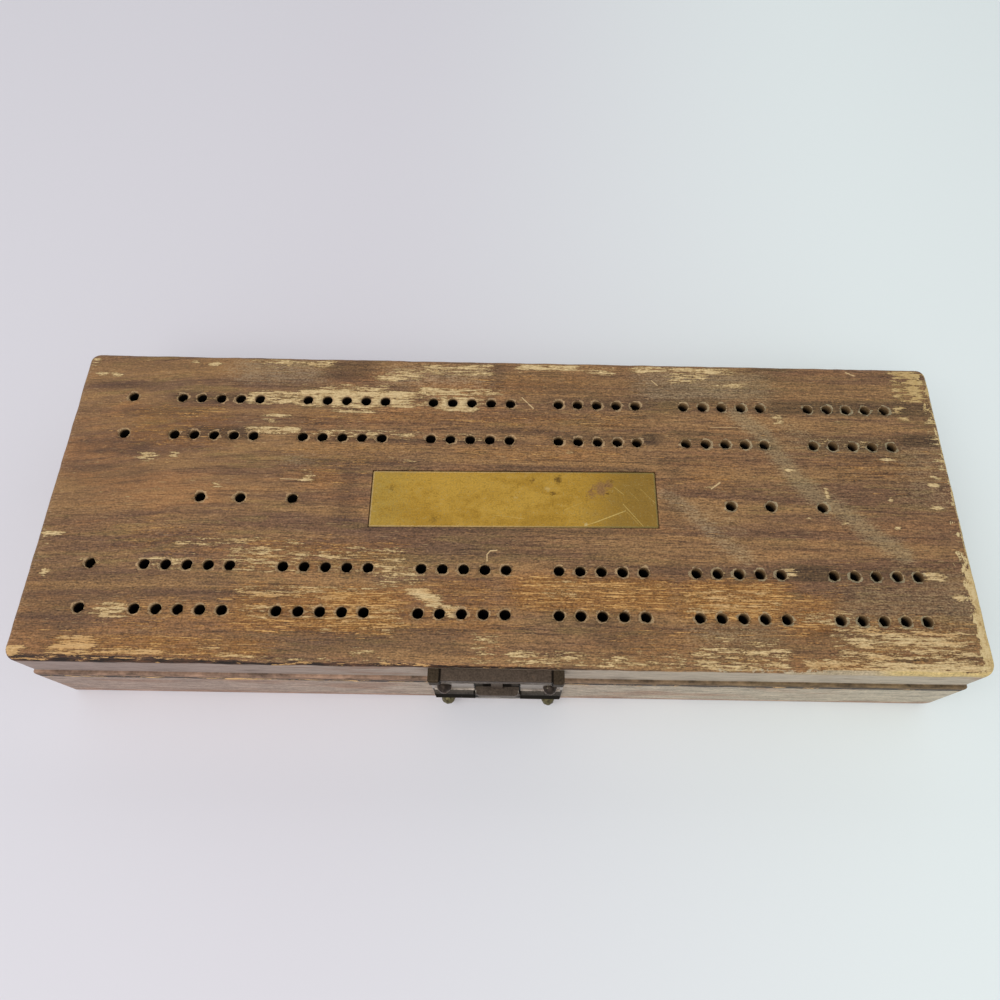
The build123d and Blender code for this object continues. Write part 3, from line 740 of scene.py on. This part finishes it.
def make_pins(
    name, node, body, material, cad_radius, cad_projection, head_radius, head_height
):
    """Domed pins in the places of a CAD node's pins, which are at the corners of its box."""
    low, high = box_mm(node)
    across = (low.x + cad_radius, high.x - cad_radius)
    heights = (low.z + cad_radius, high.z - cad_radius)
    if heights[1] - heights[0] < cad_radius:
        heights = heights[:1]
    seat_y = low.y + cad_projection
    seats = bpy.data.objects.new(name + "_seats", bpy.data.meshes.new(name + "_seats"))
    seat_points = [(x * MM, seat_y * MM, z * MM) for x in across for z in heights]
    seats.data.from_pydata(seat_points, [], [])
    bpy.context.scene.collection.objects.link(seats)
    tree = domed_pin_tree(material)
    modifier = seats.modifiers.new("pins", "NODES")
    modifier.node_group = tree
    values = {
        "Head Radius": head_radius * MM,
        "Head Height": head_height * MM,
        "Shank Radius": 0.75 * MM,
        "Shank Length": 7.0 * MM,
        "Dent Depth": 0.5 * MM,
        "Seed": 7,
    }
    for socket in tree.interface.items_tree:
        if socket.name in values:
            modifier[socket.identifier] = values[socket.name]
    shown = seats.evaluated_get(bpy.context.evaluated_depsgraph_get())
    pin_mesh = bpy.data.meshes.new_from_object(shown)
    seats.modifiers.remove(modifier)
    bpy.data.objects.remove(seats)
    add_piece(name, pin_mesh, body, (node,))


# ---------------------------------------------------------------- wood
def make_board_finish():
    """Walnut stain, worn through to pale wood in places, golden where it has only thinned."""
    finish = Finish("top_board_worn_walnut_stain")
    x, y, z = finish.x, finish.y, finish.z
    depth = board_top - z
    on_top = depth.rise(0.9, 0.1)
    on_side = depth.rise(board_top_round * 0.7, board_top_round * 1.1)
    pale, golden = finish.attribute("pale"), finish.attribute("golden")
    dark, grey, hole = finish.attribute("dark"), finish.attribute("grey"), finish.attribute("hole")
    lip = finish.attribute("lip")

    # figure of the wood: bands that bend down at the left end
    bend = x.rise(-88, -156) * (2 + y.rise(-24, 8) * 5)
    figure_place = finish.point(x, y + bend, z)
    bands = finish.noise((95, 6, 14), 4, 0.6, 0.6, (3, 7, 1), figure_place)
    clouds = finish.noise((40, 12, 30), 3, offset=(11, 2, 5), place=figure_place)
    hues = finish.noise((16, 1.6, 4), 3, 0.6, offset=(6, 6, 2), place=figure_place)
    lines = finish.noise((24, 0.9, 3), 3, 0.65, 0.3, (4, 4, 4), figure_place)
    lines = lines * (0.4 + x.rise(-132, -70) * 0.6)
    fibres = finish.noise((4, 0.5, 1), 3, 0.7, offset=(5, 1, 2))
    threads = finish.noise((1.5, 0.34, 0.5), 2, 0.6, offset=(2, 9, 4))
    specks = finish.noise((0.62, 0.46, 0.5), 1, 0.5, offset=(7, 3, 9))
    ragged = finish.noise((8, 1, 3), 6, 0.72, offset=(1, 4, 6))
    slivers = finish.noise((4.4, 0.46, 2), 4, 0.7, offset=(8, 3, 2))
    streaks = finish.noise((19, 0.5, 2), 4, 0.74, offset=(3, 6, 2))
    hairs = finish.noise((5, 0.34, 1), 2, 0.6, offset=(9, 5, 3))

    colour = finish.mix((114, 82, 58), (148, 111, 70), (bands + lines * 0.3).rise(-0.6, 0.6))
    warm = clouds + hues * 0.6
    strong_hues = 1 - x.rise(0, 80) * 0.5
    dull_tone = finish.mix((100, 74, 60), (104, 84, 54), x.rise(-60, 40))
    line_tone = finish.mix((74, 51, 34), (100, 62, 22), golden.rise(0.2, 0.7))
    grey_tone = finish.mix((146, 130, 104), (142, 125, 92), x.rise(30, 100))
    dark_tone = finish.mix((66, 46, 34), (74, 58, 36), x.rise(0, 90))
    colour = colour.layered(
        ((160, 112, 68), warm.rise(0.05, 0.8) * strong_hues * 0.6),
        (dull_tone, warm.rise(-0.15, -0.9) * strong_hues * 0.5),
        ((124, 102, 60), (hues - clouds * 0.6).rise(0.2, 0.8) * 0.5),
        (line_tone, lines.rise(-0.1, -0.6) * (0.55 + golden * 0.3)),
        ((136, 88, 32), (golden + slivers * 0.4).rise(0.1, 0.9) * 0.72),
        (grey_tone, (grey + fibres * 0.35 + specks * 0.3).rise(0.1, 0.95) * 0.56),
        (dark_tone, (dark + lines * 0.5 + fibres * 0.35).rise(0.15, 0.8) * 0.7),
        ((54, 37, 24), (dark * 0.9 + streaks * 0.8 - specks * 0.1).rise(0.78, 0.92) * 0.6),
    )
    calm = 1 - x.rise(-30, -90) * y.rise(-16, 6) * 0.45
    lightness = 1 + (fibres * 0.46 + threads * 0.42 + specks * 0.38) * calm
    colour = colour.lit(lightness.at_least(0.4).at_most(1.6))
    stroke_tone = finish.mix((62, 42, 28), (86, 52, 20), golden.rise(0.2, 0.7))
    dark_strokes = (streaks * 0.7 - slivers * 0.5).rise(0.3, 0.46) * (0.5 + golden * 0.3)
    light_strokes = (slivers * 0.75 - streaks * 0.35 + specks * 0.1).rise(0.36, 0.5) * on_top
    colour = colour.layered((stroke_tone, dark_strokes), ((182, 142, 96), light_strokes * 0.45))

    # thin golden dashes where the stain has rubbed off the ridges of the grain
    dash_field = golden * 0.95 + streaks * 1.1 + slivers * 0.5 + specks * 0.15
    dashes = dash_field.rise(0.74, 0.86) * on_top
    bright_dashes = (dash_field + threads * 0.4).rise(0.75, 1.35)
    dash_tone = finish.mix((170, 116, 56), (222, 176, 110), bright_dashes)
    colour = colour.layered(
        (dash_tone, dashes * 0.86),
        ((196, 164, 116), hairs.rise(0.72, 0.86) * on_top * 0.6),
    )
    colour = colour.lit(1 - x.rise(-110, -130) * y.rise(14, -16) * 0.09)

    # the finish worn through to pale wood, in streaks along the grain
    noise = ragged * 0.85 + slivers * 0.55 + specks * 0.12
    worn_field = pale * 1.2 - 0.18 + noise
    rim = hole.rise(0.35, 0.95) * (0.66 + grey * 0.15 + golden * 0.1) - 0.12
    worn_share = worn_field.at_least(rim + noise * 0.7).rise(0.5, 0.58)
    along_end = finish.noise((1.7, 3.2, 3), 5, 0.7, offset=(4, 9, 1)) + specks * 0.1
    end_field = x.rise(133.6, 140.4) * (0.56 + y.rise(-12, -24) * 0.66 + y.rise(20, 40) * 0.2)
    worn_share = worn_share.at_least((end_field + along_end * 0.75).rise(0.7, 0.76)) * on_top
    bright_wood = (worn_field + threads * 0.4).rise(0.5, 1.1)
    pale_tone = finish.mix((180, 148, 100), (212, 186, 138), bright_wood)
    pale_tone = pale_tone.layered(
        ((196, 144, 84), (golden + hues * 0.5).rise(0.25, 1.1) * 0.7),
        ((140, 104, 66), (fibres - streaks * 0.6).rise(0.2, 0.65) * 0.55),
    )
    pale_tone = pale_tone.lit(1 + fibres * 0.16 + threads * 0.16 + specks * 0.12)
    bright_end = (along_end + specks * 0.3).rise(-0.5, 0.5)
    end_tone = finish.mix((186, 158, 106), (220, 198, 148), bright_end)
    pale_tone = pale_tone.layered(
        (end_tone, x.rise(134, 138) * 0.8),
        ((182, 150, 90), x.rise(124, 132) * y.rise(24, 38) * 0.55),
        ((206, 156, 98), x.rise(-60, -92) * y.rise(-36, -44) * 0.5),
    )
    colour = colour.towards(pale_tone, worn_share * 0.94)
    for start, end, half_width in BOARD_SCRATCHES:
        share = (finish.scratch(start, end, half_width) + noise * 0.7 - 0.2).rise(0.3, 0.5)
        near = finish.scratch(start, end, half_width * 1.6)
        colour = colour.towards((200, 170, 124), share * near * on_top)

    # chipped lips round the holes
    lip_tone = finish.mix((190, 156, 114), (172, 158, 124), x.rise(10, 110))
    lip_tone = lip_tone.lit(1 + fibres * 0.2 + specks * 0.16)
    lip_share = (lip + noise * 0.3).rise(0.5, 0.64) * depth.rise(0.2, 0.1)
    colour = colour.towards(lip_tone, lip_share * 0.78)

    # rounded edges: dark where dirt sits, pale where hands have worn them, greyish where a
    # highlight is painted
    dirt_start = -49.6 - x.rise(-112, -70) * 0.8 - x.rise(-40, 40) * 0.4
    front_dirt = (dirt_start - y + ragged * 0.8).rise(0, 0.3) * x.rise(46, 6)
    dirt_tone = finish.mix((30, 19, 13), (92, 60, 40), (fibres + ragged * 0.5).rise(-0.5, 0.8))
    edge_chips = (ragged * 0.8 + slivers * 0.6).rise(0.24, 0.34) * front_dirt
    back_dirt = y.rise(50.9, 51.6) * depth.rise(0.1, 0.5) * (1 - on_side)
    colour = colour.layered(
        (dirt_tone, front_dirt * (1 - on_side) * (1 - worn_share * 0.8)),
        ((208, 162, 104), edge_chips * depth.rise(1.5, 1.1) * 0.85),
        ((104, 76, 54), back_dirt * 0.7),
    )
    end_wear = x.rise(138.6, 140.2) * (0.5 + y.rise(-8, -22) * 0.35)
    front_wear = x.rise(40, 112) * y.rise(-49.2, -50.8) * 0.8
    worn_edge = (end_wear + front_wear + along_end * 0.4 + noise * 0.4).rise(0.4, 0.52)
    worn_edge = worn_edge * depth.rise(3, 1.2) * depth.rise(0.02, 0.2)
    dull_edge = (fibres + along_end * 0.6).rise(0.1, 0.8) * 0.8
    edge_tone = finish.mix((204, 178, 120), (168, 138, 84), dull_edge)
    # Painted highlight: the worn front edge turns grey short of x 104 to 114.
    edge_tone = edge_tone.towards((176, 160, 136), x.rise(114, 104) * 0.8)
    edge_tone = edge_tone.lit(1 + fibres * 0.24 + threads * 0.24 + specks * 0.24)
    colour = colour.towards(edge_tone, worn_edge)

    # sides: dull and greyish, with fine grain; the grey is painted sheen, the drift along x partly
    # painted light
    side_grain = finish.noise((13, 13, 0.6), 4, 0.7, offset=(2, 8, 4))
    side_tone = finish.mix((148, 128, 118), (180, 166, 145), x.rise(-130, 120))
    side_tone = side_tone.layered(
        ((130, 94, 70), (lines + clouds * 0.5).rise(0.2, 1) * 0.6),
        ((94, 74, 60), (side_grain + lines * 0.4).rise(-0.2, -0.9) * 0.7),
    )
    side_tone = side_tone.lit(1 + side_grain * 0.4 + fibres * 0.12 + threads * 0.1)
    colour = colour.towards(side_tone, on_side * (1 - worn_edge))

    # inside the holes: bare at the mouth, then painted shade that darkens with depth, sooner
    # towards the left end
    above_floor = 1 - on_side * depth.rise(9.8, 10.2)
    inside = hole.rise(0.93, 0.99) * depth.rise(0.08, 0.25) * above_floor
    painted_shade_depth = depth * (1 + x.rise(60, -30) * 1.6) + threads * 0.4
    hole_tone = finish.mix((138, 110, 76), (18, 11, 7), painted_shade_depth.rise(0.4, 3.4))
    mouth = hole.rise(0.55, 0.75) * depth.rise(0.02, 0.1) * (1 - inside) * depth.rise(0.6, 0.4)
    chipped_mouth = mouth * (noise + 0.4).rise(0, 0.4) * 0.8
    colour = colour.layered((hole_tone, inside), ((182, 156, 124), chipped_mouth))

    height = fibres * 0.4 + threads * 0.4 + specks * 0.25 - worn_share * 1.3 - dashes * 0.5
    rough = 0.56 + worn_share * 0.24 + grey * 0.1 - fibres * 0.05
    return finish.surface(
        Base_Color=colour,
        Roughness=rough,
        Normal=finish.bump(height, 0.06),
        Specular_IOR_Level=0.28,
    )


def make_case_finish():
    """The case walls and the drawer's front: the board's stain greyed by a painted sheen, brown at
    the top.
    """
    finish = Finish("case_faded_walnut_stain")
    x, y, z = finish.x, finish.y, finish.z
    lines = finish.noise((26, 26, 0.9), 4, 0.65, 0.3, (2, 5, 1))
    clouds = finish.noise((30, 30, 7), 3, offset=(7, 1, 3))
    fibres = finish.noise((11, 11, 0.55), 4, 0.7, offset=(5, 2, 8))
    threads = finish.noise((4.6, 4.6, 0.36), 2, 0.6, offset=(1, 3, 6))
    ragged = finish.noise((7, 7, 0.9), 5, 0.72, offset=(4, 8, 5))
    # Faces: grey as a painted sheen, lighter and yellower to the right as partly painted light.
    face = finish.mix((162, 140, 126), (184, 171, 149), x.rise(-130, 130))
    face = face.layered(
        ((150, 112, 88), (clouds + lines * 0.5).rise(0, 0.8) * 0.6),
        ((108, 86, 70), (lines + fibres * 0.4).rise(-0.2, -0.9) * 0.6),
        ((164, 118, 92), (z + lines * 0.8).rise(3.6, 1.4) * 0.7),
        ((190, 156, 112), (ragged - 0.05).rise(0.62, 0.78) * 0.7),
    )
    # A brown band at the top, darkest in a thin line at its foot: partly stain, partly painted
    # shade under the board.
    top_edge = z + ragged * 0.9
    at_front = y.rise(-51.2, -51.5)
    upper = top_edge.rise(22.4, 23.2) * (0.3 + at_front * 0.7)
    brown_share = fibres * 0.4 + lines * 0.4 + z.rise(22.8, 24.8) * 1.1
    band_tone = finish.mix((146, 116, 96), (116, 96, 68), x.rise(-60, 100))
    brown = finish.mix((60, 43, 31), band_tone, brown_share.rise(-0.2, 1.3))
    colour = face.towards(brown, upper)
    shaded_line = top_edge.rise(21.6, 22.1) * top_edge.rise(23.9, 23.4) * at_front
    colour = colour.towards((34, 22, 16), shaded_line * 0.9)
    chips = finish.noise((6, 6, 1.6), 4, 0.7, offset=(6, 2, 7)) - x.rise(0, 50) * 0.2
    flakes = top_edge.rise(21.4, 21.7) * top_edge.rise(23.5, 23.1) * chips.rise(0.12, 0.22)
    colour = colour.towards((228, 182, 118), flakes * at_front * 0.85)

    # the side that faces the drawer was never stained
    inner = abs(x).rise(131.5, 131.1) * y.rise(-43.6, -43.1) * y.rise(42.6, 42.1)
    raw = finish.mix((164, 128, 90), (190, 156, 112), lines.rise(-0.6, 0.7))
    colour = colour.towards(raw, inner)
    specks = finish.noise((0.8, 0.8, 0.5), 1, 0.5, offset=(3, 3, 8))
    colour = colour.lit(1 + fibres * 0.4 + threads * 0.5 + specks * 0.22)
    height = fibres * 0.5 + threads * 0.5 + lines * 0.4
    return finish.surface(
        Base_Color=colour,
        Roughness=0.62 + fibres * 0.06,
        Normal=finish.bump(height, 0.06),
        Specular_IOR_Level=0.3,
    )


def make_raw_wood(name, pale_tone, brown_tone, along, seed):
    """Unstained wood with its grain along x or y."""
    finish = Finish(name)

    def grain(length, width, detail, offset):
        sizes = (length, width, width) if along == "x" else (width, length, width)
        return finish.noise(sizes, detail, 0.65, 0.4, (seed, offset, seed * 0.7))

    bands = grain(70, 3.2, 4, 1.3)
    lines = grain(18, 0.7, 3, 4.1)
    fibres = grain(3.4, 0.4, 3, 7.7)
    pores = grain(1.8, 0.26, 1, 2.9)
    grime = finish.noise((24, 24, 9), 4, 0.6, offset=(seed, 2, 5))
    colour = finish.mix(brown_tone, pale_tone, (bands + fibres * 0.2).rise(-0.8, 0.7))
    colour = colour.layered(
        ((128, 90, 56), lines.rise(-0.2, -0.9) * 0.5),
        ((98, 74, 52), grime.rise(0.25, 1.1) * 0.5),
        ((86, 60, 40), pores.rise(0.4, 0.8) * 0.35),
    )
    colour = colour.lit(1 + fibres * 0.16 + pores * 0.1)
    height = fibres * 0.5 + lines * 0.3 - pores.rise(0.3, 0.8) * 0.6
    return finish.surface(
        Base_Color=colour,
        Roughness=0.68 + fibres * 0.06,
        Normal=finish.bump(height, 0.07),
        Specular_IOR_Level=0.3,
    )


# ---------------------------------------------------------------- metal
def make_plate_brass():
    """The bare name plate: aged brass, mottled and spotted, darker towards the right."""
    finish = Finish("name_plate_aged_brass")
    x, y = finish.x, finish.y
    clouds = finish.noise((22, 9, 9), 3, 0.55, 0.8, (3, 1, 2))
    mottle = finish.noise((2.6, 2, 2), 4, 0.65, offset=(6, 4, 1))
    specks = finish.noise((0.55, 0.5, 0.5), 2, 0.6, offset=(1, 8, 3))
    brushed = finish.noise((5, 0.3, 0.5), 3, 0.65, offset=(9, 2, 2))
    colour = finish.mix((182, 140, 52), (200, 158, 66), (clouds + mottle * 0.5).rise(-0.6, 0.7))
    left, right = x.rise(-18, -44), x.rise(12, 46)
    colour = colour.layered(
        ((172, 146, 72), (left * 0.7 + mottle * 0.35).rise(0.1, 0.9) * 0.6),
        ((146, 114, 52), (right + clouds * 0.3 + mottle * 0.2).rise(0.15, 1) * 0.85),
        ((104, 74, 26), (mottle * 0.5 + specks * 0.9).rise(0.42, 0.75) * 0.55),
        ((214, 184, 116), (mottle * 0.4 - specks).rise(0.4, 0.7) * 0.5),
    )
    for (spot_x, spot_y), radius, tone, strength in PLATE_SPOTS:
        gap = ((x - spot_x) ** 2 + (y - spot_y) ** 2) ** 0.5
        share = (gap + mottle * radius * 0.8 + specks * 0.5).rise(radius * 1.3, radius * 0.3)
        colour = colour.towards(tone, share * strength)
    scratches = (brushed + mottle * 0.3).rise(1.1, 1.4) * 0.3
    for start, end, half_width, strength in PLATE_SCRATCHES:
        scratches = scratches.at_least(finish.scratch(start, end, half_width) * strength)
    colour = colour.towards((224, 196, 118), scratches)
    along, across = plate_place(x, y)
    at_end = abs(along).rise(plate_length / 2 - 0.75, plate_length / 2 - 0.3)
    at_side = abs(across).rise(plate_width / 2 - 0.75, plate_width / 2 - 0.3)
    border = at_end.at_least(at_side)
    # The border: a painted edge highlight, pale at the left end, darker olive towards the right.
    rim_tone = finish.mix((186, 158, 108), (128, 116, 66), x.rise(-10, 46))
    colour = colour.towards(rim_tone, (border + mottle * 0.3 + specks * 0.2).rise(0.5, 1) * 0.8)
    colour = colour.lit(0.97 + specks * 0.3 + brushed * 0.06 + mottle * 0.08)
    rough = 0.42 + mottle * 0.07 + border * 0.15 + specks * 0.04 + right * 0.05
    height = mottle * 0.25 + specks * 0.3 + brushed * 0.12 - scratches * 0.6
    return finish.surface(
        Base_Color=colour,
        Metallic=0.82 - border * 0.2,
        Roughness=rough,
        Normal=finish.bump(height, 0.035),
    )


def make_latch_metal(name, dark_tone, bright_metal_tone, wear, seed):
    """Dark plated steel, rubbed to bright metal in places, with painted highlights on the latch
    plate and bolt.
    """
    finish = Finish(name)
    x, y, z = finish.x, finish.y, finish.z
    mottle = finish.noise((2.4, 2, 2), 4, 0.65, offset=(seed, 4, 1))
    specks = finish.noise((0.5, 0.5, 0.5), 2, 0.6, offset=(1, seed, 3))
    rubbed = finish.noise((6, 1.6, 0.8), 4, 0.7, offset=(2, 6, seed))
    off_middle = abs(x - latch_middle_x)
    colour = finish.lit(dark_tone, 1 + mottle * 0.24 + specks * 0.36)
    rust = (mottle * 0.7 + specks * 0.4).rise(0.35, 0.9)
    dull = rust * 0.4
    colour = colour.towards((96, 68, 44), rust * 0.35)
    if name.startswith("strike"):
        ears = off_middle.rise(15.8, 16.1)
        colour = colour.towards(finish.lit((62, 52, 40), 1 + specks * 0.4), ears * 0.85)
        # Painted shade: a near-black line in the gap between each ear and the bar.
        gap = off_middle.rise(15.5, 15.8) * off_middle.rise(16.5, 16.2)
        colour = colour.towards((18, 15, 12), gap * 0.9)
        bare = y.rise(-54.3, -54.8) * z.rise(35.8, 35) * (1 - ears)
    elif name.startswith("latch_plate"):
        # Bright bands above and below the ribs: partly rubbed metal, partly a painted highlight.
        ribs = y.rise(-53.6, -53.9)
        above = z.rise(16.2, 17.6) * (1 - ribs)
        below = z.rise(4.4, 3) + z.rise(9.6, 8.6) * 0.35
        rib_ends = ribs * z.rise(5.4, 4.4)
        bare = above * off_middle.rise(6.4, 7.4) + below * 0.6 * (1 - ribs) + rib_ends * 0.7
        dull = ribs * z.rise(16.8, 15.8)
        # Painted shade: near-black in the slot beside the bolt and in the gap above it, under the
        # strike.
        slot_side_shade = off_middle.rise(6.2, 6.5) * off_middle.rise(7.5, 7.1)
        slot_shade = slot_side_shade + off_middle.rise(4.4, 4.2) * z.rise(19, 20)
        colour = colour.layered(
            ((16, 13, 11), slot_shade.at_most(1) * 0.95),
            ((26, 23, 19), dull * 0.92),
        )
    else:
        # The bolt's tab: a pale rim on its sides and front edge, partly rubbed metal, partly a
        # painted highlight.
        front_rim = y.rise(-55.7, -55.95) * z.rise(20.2, 19.8)
        rim = off_middle.rise(6.1, 6.35).at_least(front_rim) * y.rise(-54.2, -54.6)
        bare = rim * 0.95
    worn = (bare * wear + rubbed * 0.34 + specks * 0.12).rise(0.4, 0.8)
    colour = colour.towards(bright_metal_tone, worn)
    height = specks * 0.5 + mottle * 0.4
    return finish.surface(
        Base_Color=colour,
        Metallic=(0.66 + worn * 0.25 - dull * 0.7).at_least(0.05),
        Roughness=0.52 - worn * 0.14 + mottle * 0.06,
        Normal=finish.bump(height, 0.05),
        Specular_IOR_Level=0,
    )


def make_pin_metal():
    """The latch's domed pins: dull brass, brown with age, with painted shadow on their tops under
    the strike.
    """
    finish = Finish("latch_pin_brown_brass")
    height = finish.z
    mottle = finish.noise((1.2, 1.2, 1.2), 4, 0.65, offset=(3, 4, 1))
    specks = finish.noise((0.35, 0.35, 0.35), 2, 0.6, offset=(1, 6, 3))
    colour = finish.mix((104, 96, 66), (122, 98, 82), height.rise(12, 20))
    # The second layer below darkens the pins above z 21.6 as painted shadow under the strike.
    colour = colour.layered(
        ((52, 44, 34), mottle.rise(-0.1, 0.7) * 0.75),
        ((40, 33, 28), height.rise(21.6, 22.6) * 0.9),
        ((176, 166, 138), (mottle - specks * 0.6).rise(-0.5, -1) * 0.6),
    )
    return finish.surface(
        Base_Color=colour,
        Metallic=0.75 + mottle * 0.1,
        Roughness=0.42 + mottle * 0.08,
        Normal=finish.bump(mottle * 0.5 + specks * 0.3, 0.05),
    )


def make_turned_metal(name, tone, tarnish_tone, seed):
    """Small bright metal: pegs and brads."""
    finish = Finish(name)
    mottle = finish.noise((2.2, 2.2, 2.2), 4, 0.6, offset=(seed, 4, 1))
    specks = finish.noise((0.4, 0.4, 0.4), 2, 0.6, offset=(1, seed, 3))
    rings = finish.noise((0.22, 30, 30), 2, 0.6, offset=(seed, 2, 2))
    tarnish = (mottle + specks * 0.35).rise(0, 0.9)
    colour = finish.mix(tone, tarnish_tone, tarnish * 0.75)
    colour = colour.lit(1 + rings * 0.12 + specks * 0.08)
    return finish.surface(
        Base_Color=colour,
        Metallic=0.95 - tarnish * 0.3,
        Roughness=0.3 + tarnish * 0.2 + rings * 0.05,
        Normal=finish.bump(rings * 0.4 + specks * 0.25, 0.03),
    )


# ---------------------------------------------------------------- camera, lamps and floor
camera_place = Vector((4.56, -99.91, board_top + 218.47))
camera_pitch = math.radians(65.21)
camera_yaw = math.radians(0.86)
camera_roll = math.radians(1.82)
camera_focal_pixels = 774.0
picture_pixels = 1000.0
picture_middle_shift = 25.6


def make_camera():
    """The camera, in front of the box and above it, looking down."""
    data = bpy.data.cameras.new("camera")
    data.sensor_width = 36.0
    data.lens = data.sensor_width * camera_focal_pixels / picture_pixels
    data.shift_x = -picture_middle_shift / picture_pixels
    data.clip_start = 0.01
    camera = bpy.data.objects.new("camera", data)
    forward = Vector(
        (
            math.sin(camera_yaw) * math.cos(camera_pitch),
            math.cos(camera_yaw) * math.cos(camera_pitch),
            -math.sin(camera_pitch),
        )
    )
    level = forward.cross(Vector((0, 0, 1))).normalized()
    upright = level.cross(forward)
    right = level * math.cos(camera_roll) + upright * math.sin(camera_roll)
    up = upright * math.cos(camera_roll) - level * math.sin(camera_roll)
    turn = Matrix((right, up, -forward)).transposed()
    camera.matrix_world = Matrix.Translation(camera_place * MM) @ turn.to_4x4()
    bpy.context.scene.collection.objects.link(camera)
    bpy.context.scene.camera = camera


def make_floor():
    """A pale floor just under the box, with painted light on it. It is open below the case, to show
    its underside.
    """
    half, height, margin = 3.0, -0.1 * MM, 1.0 * MM
    low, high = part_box("case_floor")
    opening = (low.x + margin, low.y + margin, high.x - margin, high.y - margin)
    points = []
    for west, south, east, north in ((-half, -half, half, half), opening):
        corners = [(west, south), (east, south), (east, north), (west, north)]
        points += [(x, y, height) for x, y in corners]
    faces = [(side, (side + 1) % 4, (side + 1) % 4 + 4, side + 4) for side in range(4)]
    mesh = bpy.data.meshes.new("floor")
    mesh.from_pydata(points, [], faces)
    floor = bpy.data.objects.new("floor", mesh)
    bpy.context.scene.collection.objects.link(floor)
    finish = Finish("pale_floor")
    x, y = finish.x, finish.y
    # Painted light: lighter and greener to the right, and lighter in front of the box to thin its
    # shadow.
    colour = finish.mix((216, 213, 219), (231, 239, 238), x.rise(-80, 170))
    painted_light_in_front = y.rise(-86, -58) * abs(x).rise(190, 110) * y.rise(20, 0)
    colour = colour.lit(1 + painted_light_in_front * (0.11 - x.rise(0, 90) * 0.05))
    mesh.materials.append(finish.surface(Base_Color=colour, Roughness=0.55))


def make_light():
    """A soft room and one large window, high at the front left."""
    world = bpy.data.worlds.new("room")
    bpy.context.scene.world = world
    world.use_nodes = True
    background = world.node_tree.nodes["Background"]
    background.inputs["Color"].default_value = (0.95, 0.97, 1.0, 1.0)
    background.inputs["Strength"].default_value = 0.72
    data = bpy.data.lights.new("window", "AREA")
    data.shape = "RECTANGLE"
    data.size = 0.9
    data.size_y = 0.6
    data.energy = 5.0
    data.color = (1.0, 0.98, 0.95)
    lamp = bpy.data.objects.new("window", data)
    lamp.location = (-0.35, -0.45, 0.95)
    lamp.rotation_euler = (Vector((0, 0, 0)) - lamp.location).to_track_quat("-Z", "Y").to_euler()
    bpy.context.scene.collection.objects.link(lamp)


def paint(material, names):
    """Gives CAD nodes their finish."""
    for name in names:
        nodes[name].material_slots[0].material = material


# ---------------------------------------------------------------- the pieces and their finishes
make_board()
paint(make_case_finish(), ["case_side_left", "case_side_right", "case_back", "drawer_front"])
paint(make_plate_brass(), ["name_plate"])

drawer_walls = ["drawer_side_left", "drawer_side_right"]
drawer_walls += ["drawer_divider_left", "drawer_divider_right"]
brads = [f"{part}_brads" for part in ("case_corner", "case_floor", "drawer_corner", "drawer_floor")]
raw_woods = (
    (drawer_walls, "drawer_raw_wood_across", (200, 164, 118), (160, 120, 82), "y", 3.1),
    (["drawer_back"], "drawer_raw_wood_along", (200, 164, 118), (160, 120, 82), "x", 5.3),
    (["drawer_floor"], "floor_panel_wood", (186, 150, 104), (142, 106, 70), "x", 8.6),
    (["case_floor"], "case_floor_dusty_wood", (158, 132, 104), (120, 96, 74), "x", 9.2),
)
latch_metals = (
    (["strike"], "strike_dark_plated_steel", (82, 70, 60), (150, 140, 128), 0.5, 3.3),
    (["latch_plate"], "latch_plate_worn_steel", (78, 72, 66), (182, 172, 162), 0.9, 5.9),
    (["latch_bolt"], "latch_bolt_dark_steel", (96, 84, 74), (178, 168, 154), 0.8, 8.1),
)
turned_metals = (
    (brads, "brad_dull_steel", (158, 152, 144), (96, 78, 62), 2.2),
    (["peg_1", "peg_2"], "peg_turned_brass", (222, 182, 104), (140, 104, 56), 4.4),
    (["peg_3", "peg_4"], "peg_turned_steel", (204, 202, 198), (128, 122, 114), 6.6),
)
for make_finish, rows in (
    (make_raw_wood, raw_woods),
    (make_latch_metal, latch_metals),
    (make_turned_metal, turned_metals),
):
    for painted, *choices in rows:
        paint(make_finish(*choices), painted)

pin_metal = make_pin_metal()
make_pins(
    "latch_plate_domed_pins", "latch_plate_pins", "drawer", pin_metal,
    cad_radius=2.0, cad_projection=1.8, head_radius=2.25, head_height=2.5,
)
make_pins(
    "strike_domed_pins", "strike_pins", "case", pin_metal,
    cad_radius=1.8, cad_projection=0.7, head_radius=1.9, head_height=0.75,
)

make_camera()
make_floor()
make_light()
bpy.context.scene.view_settings.view_transform = "Standard"
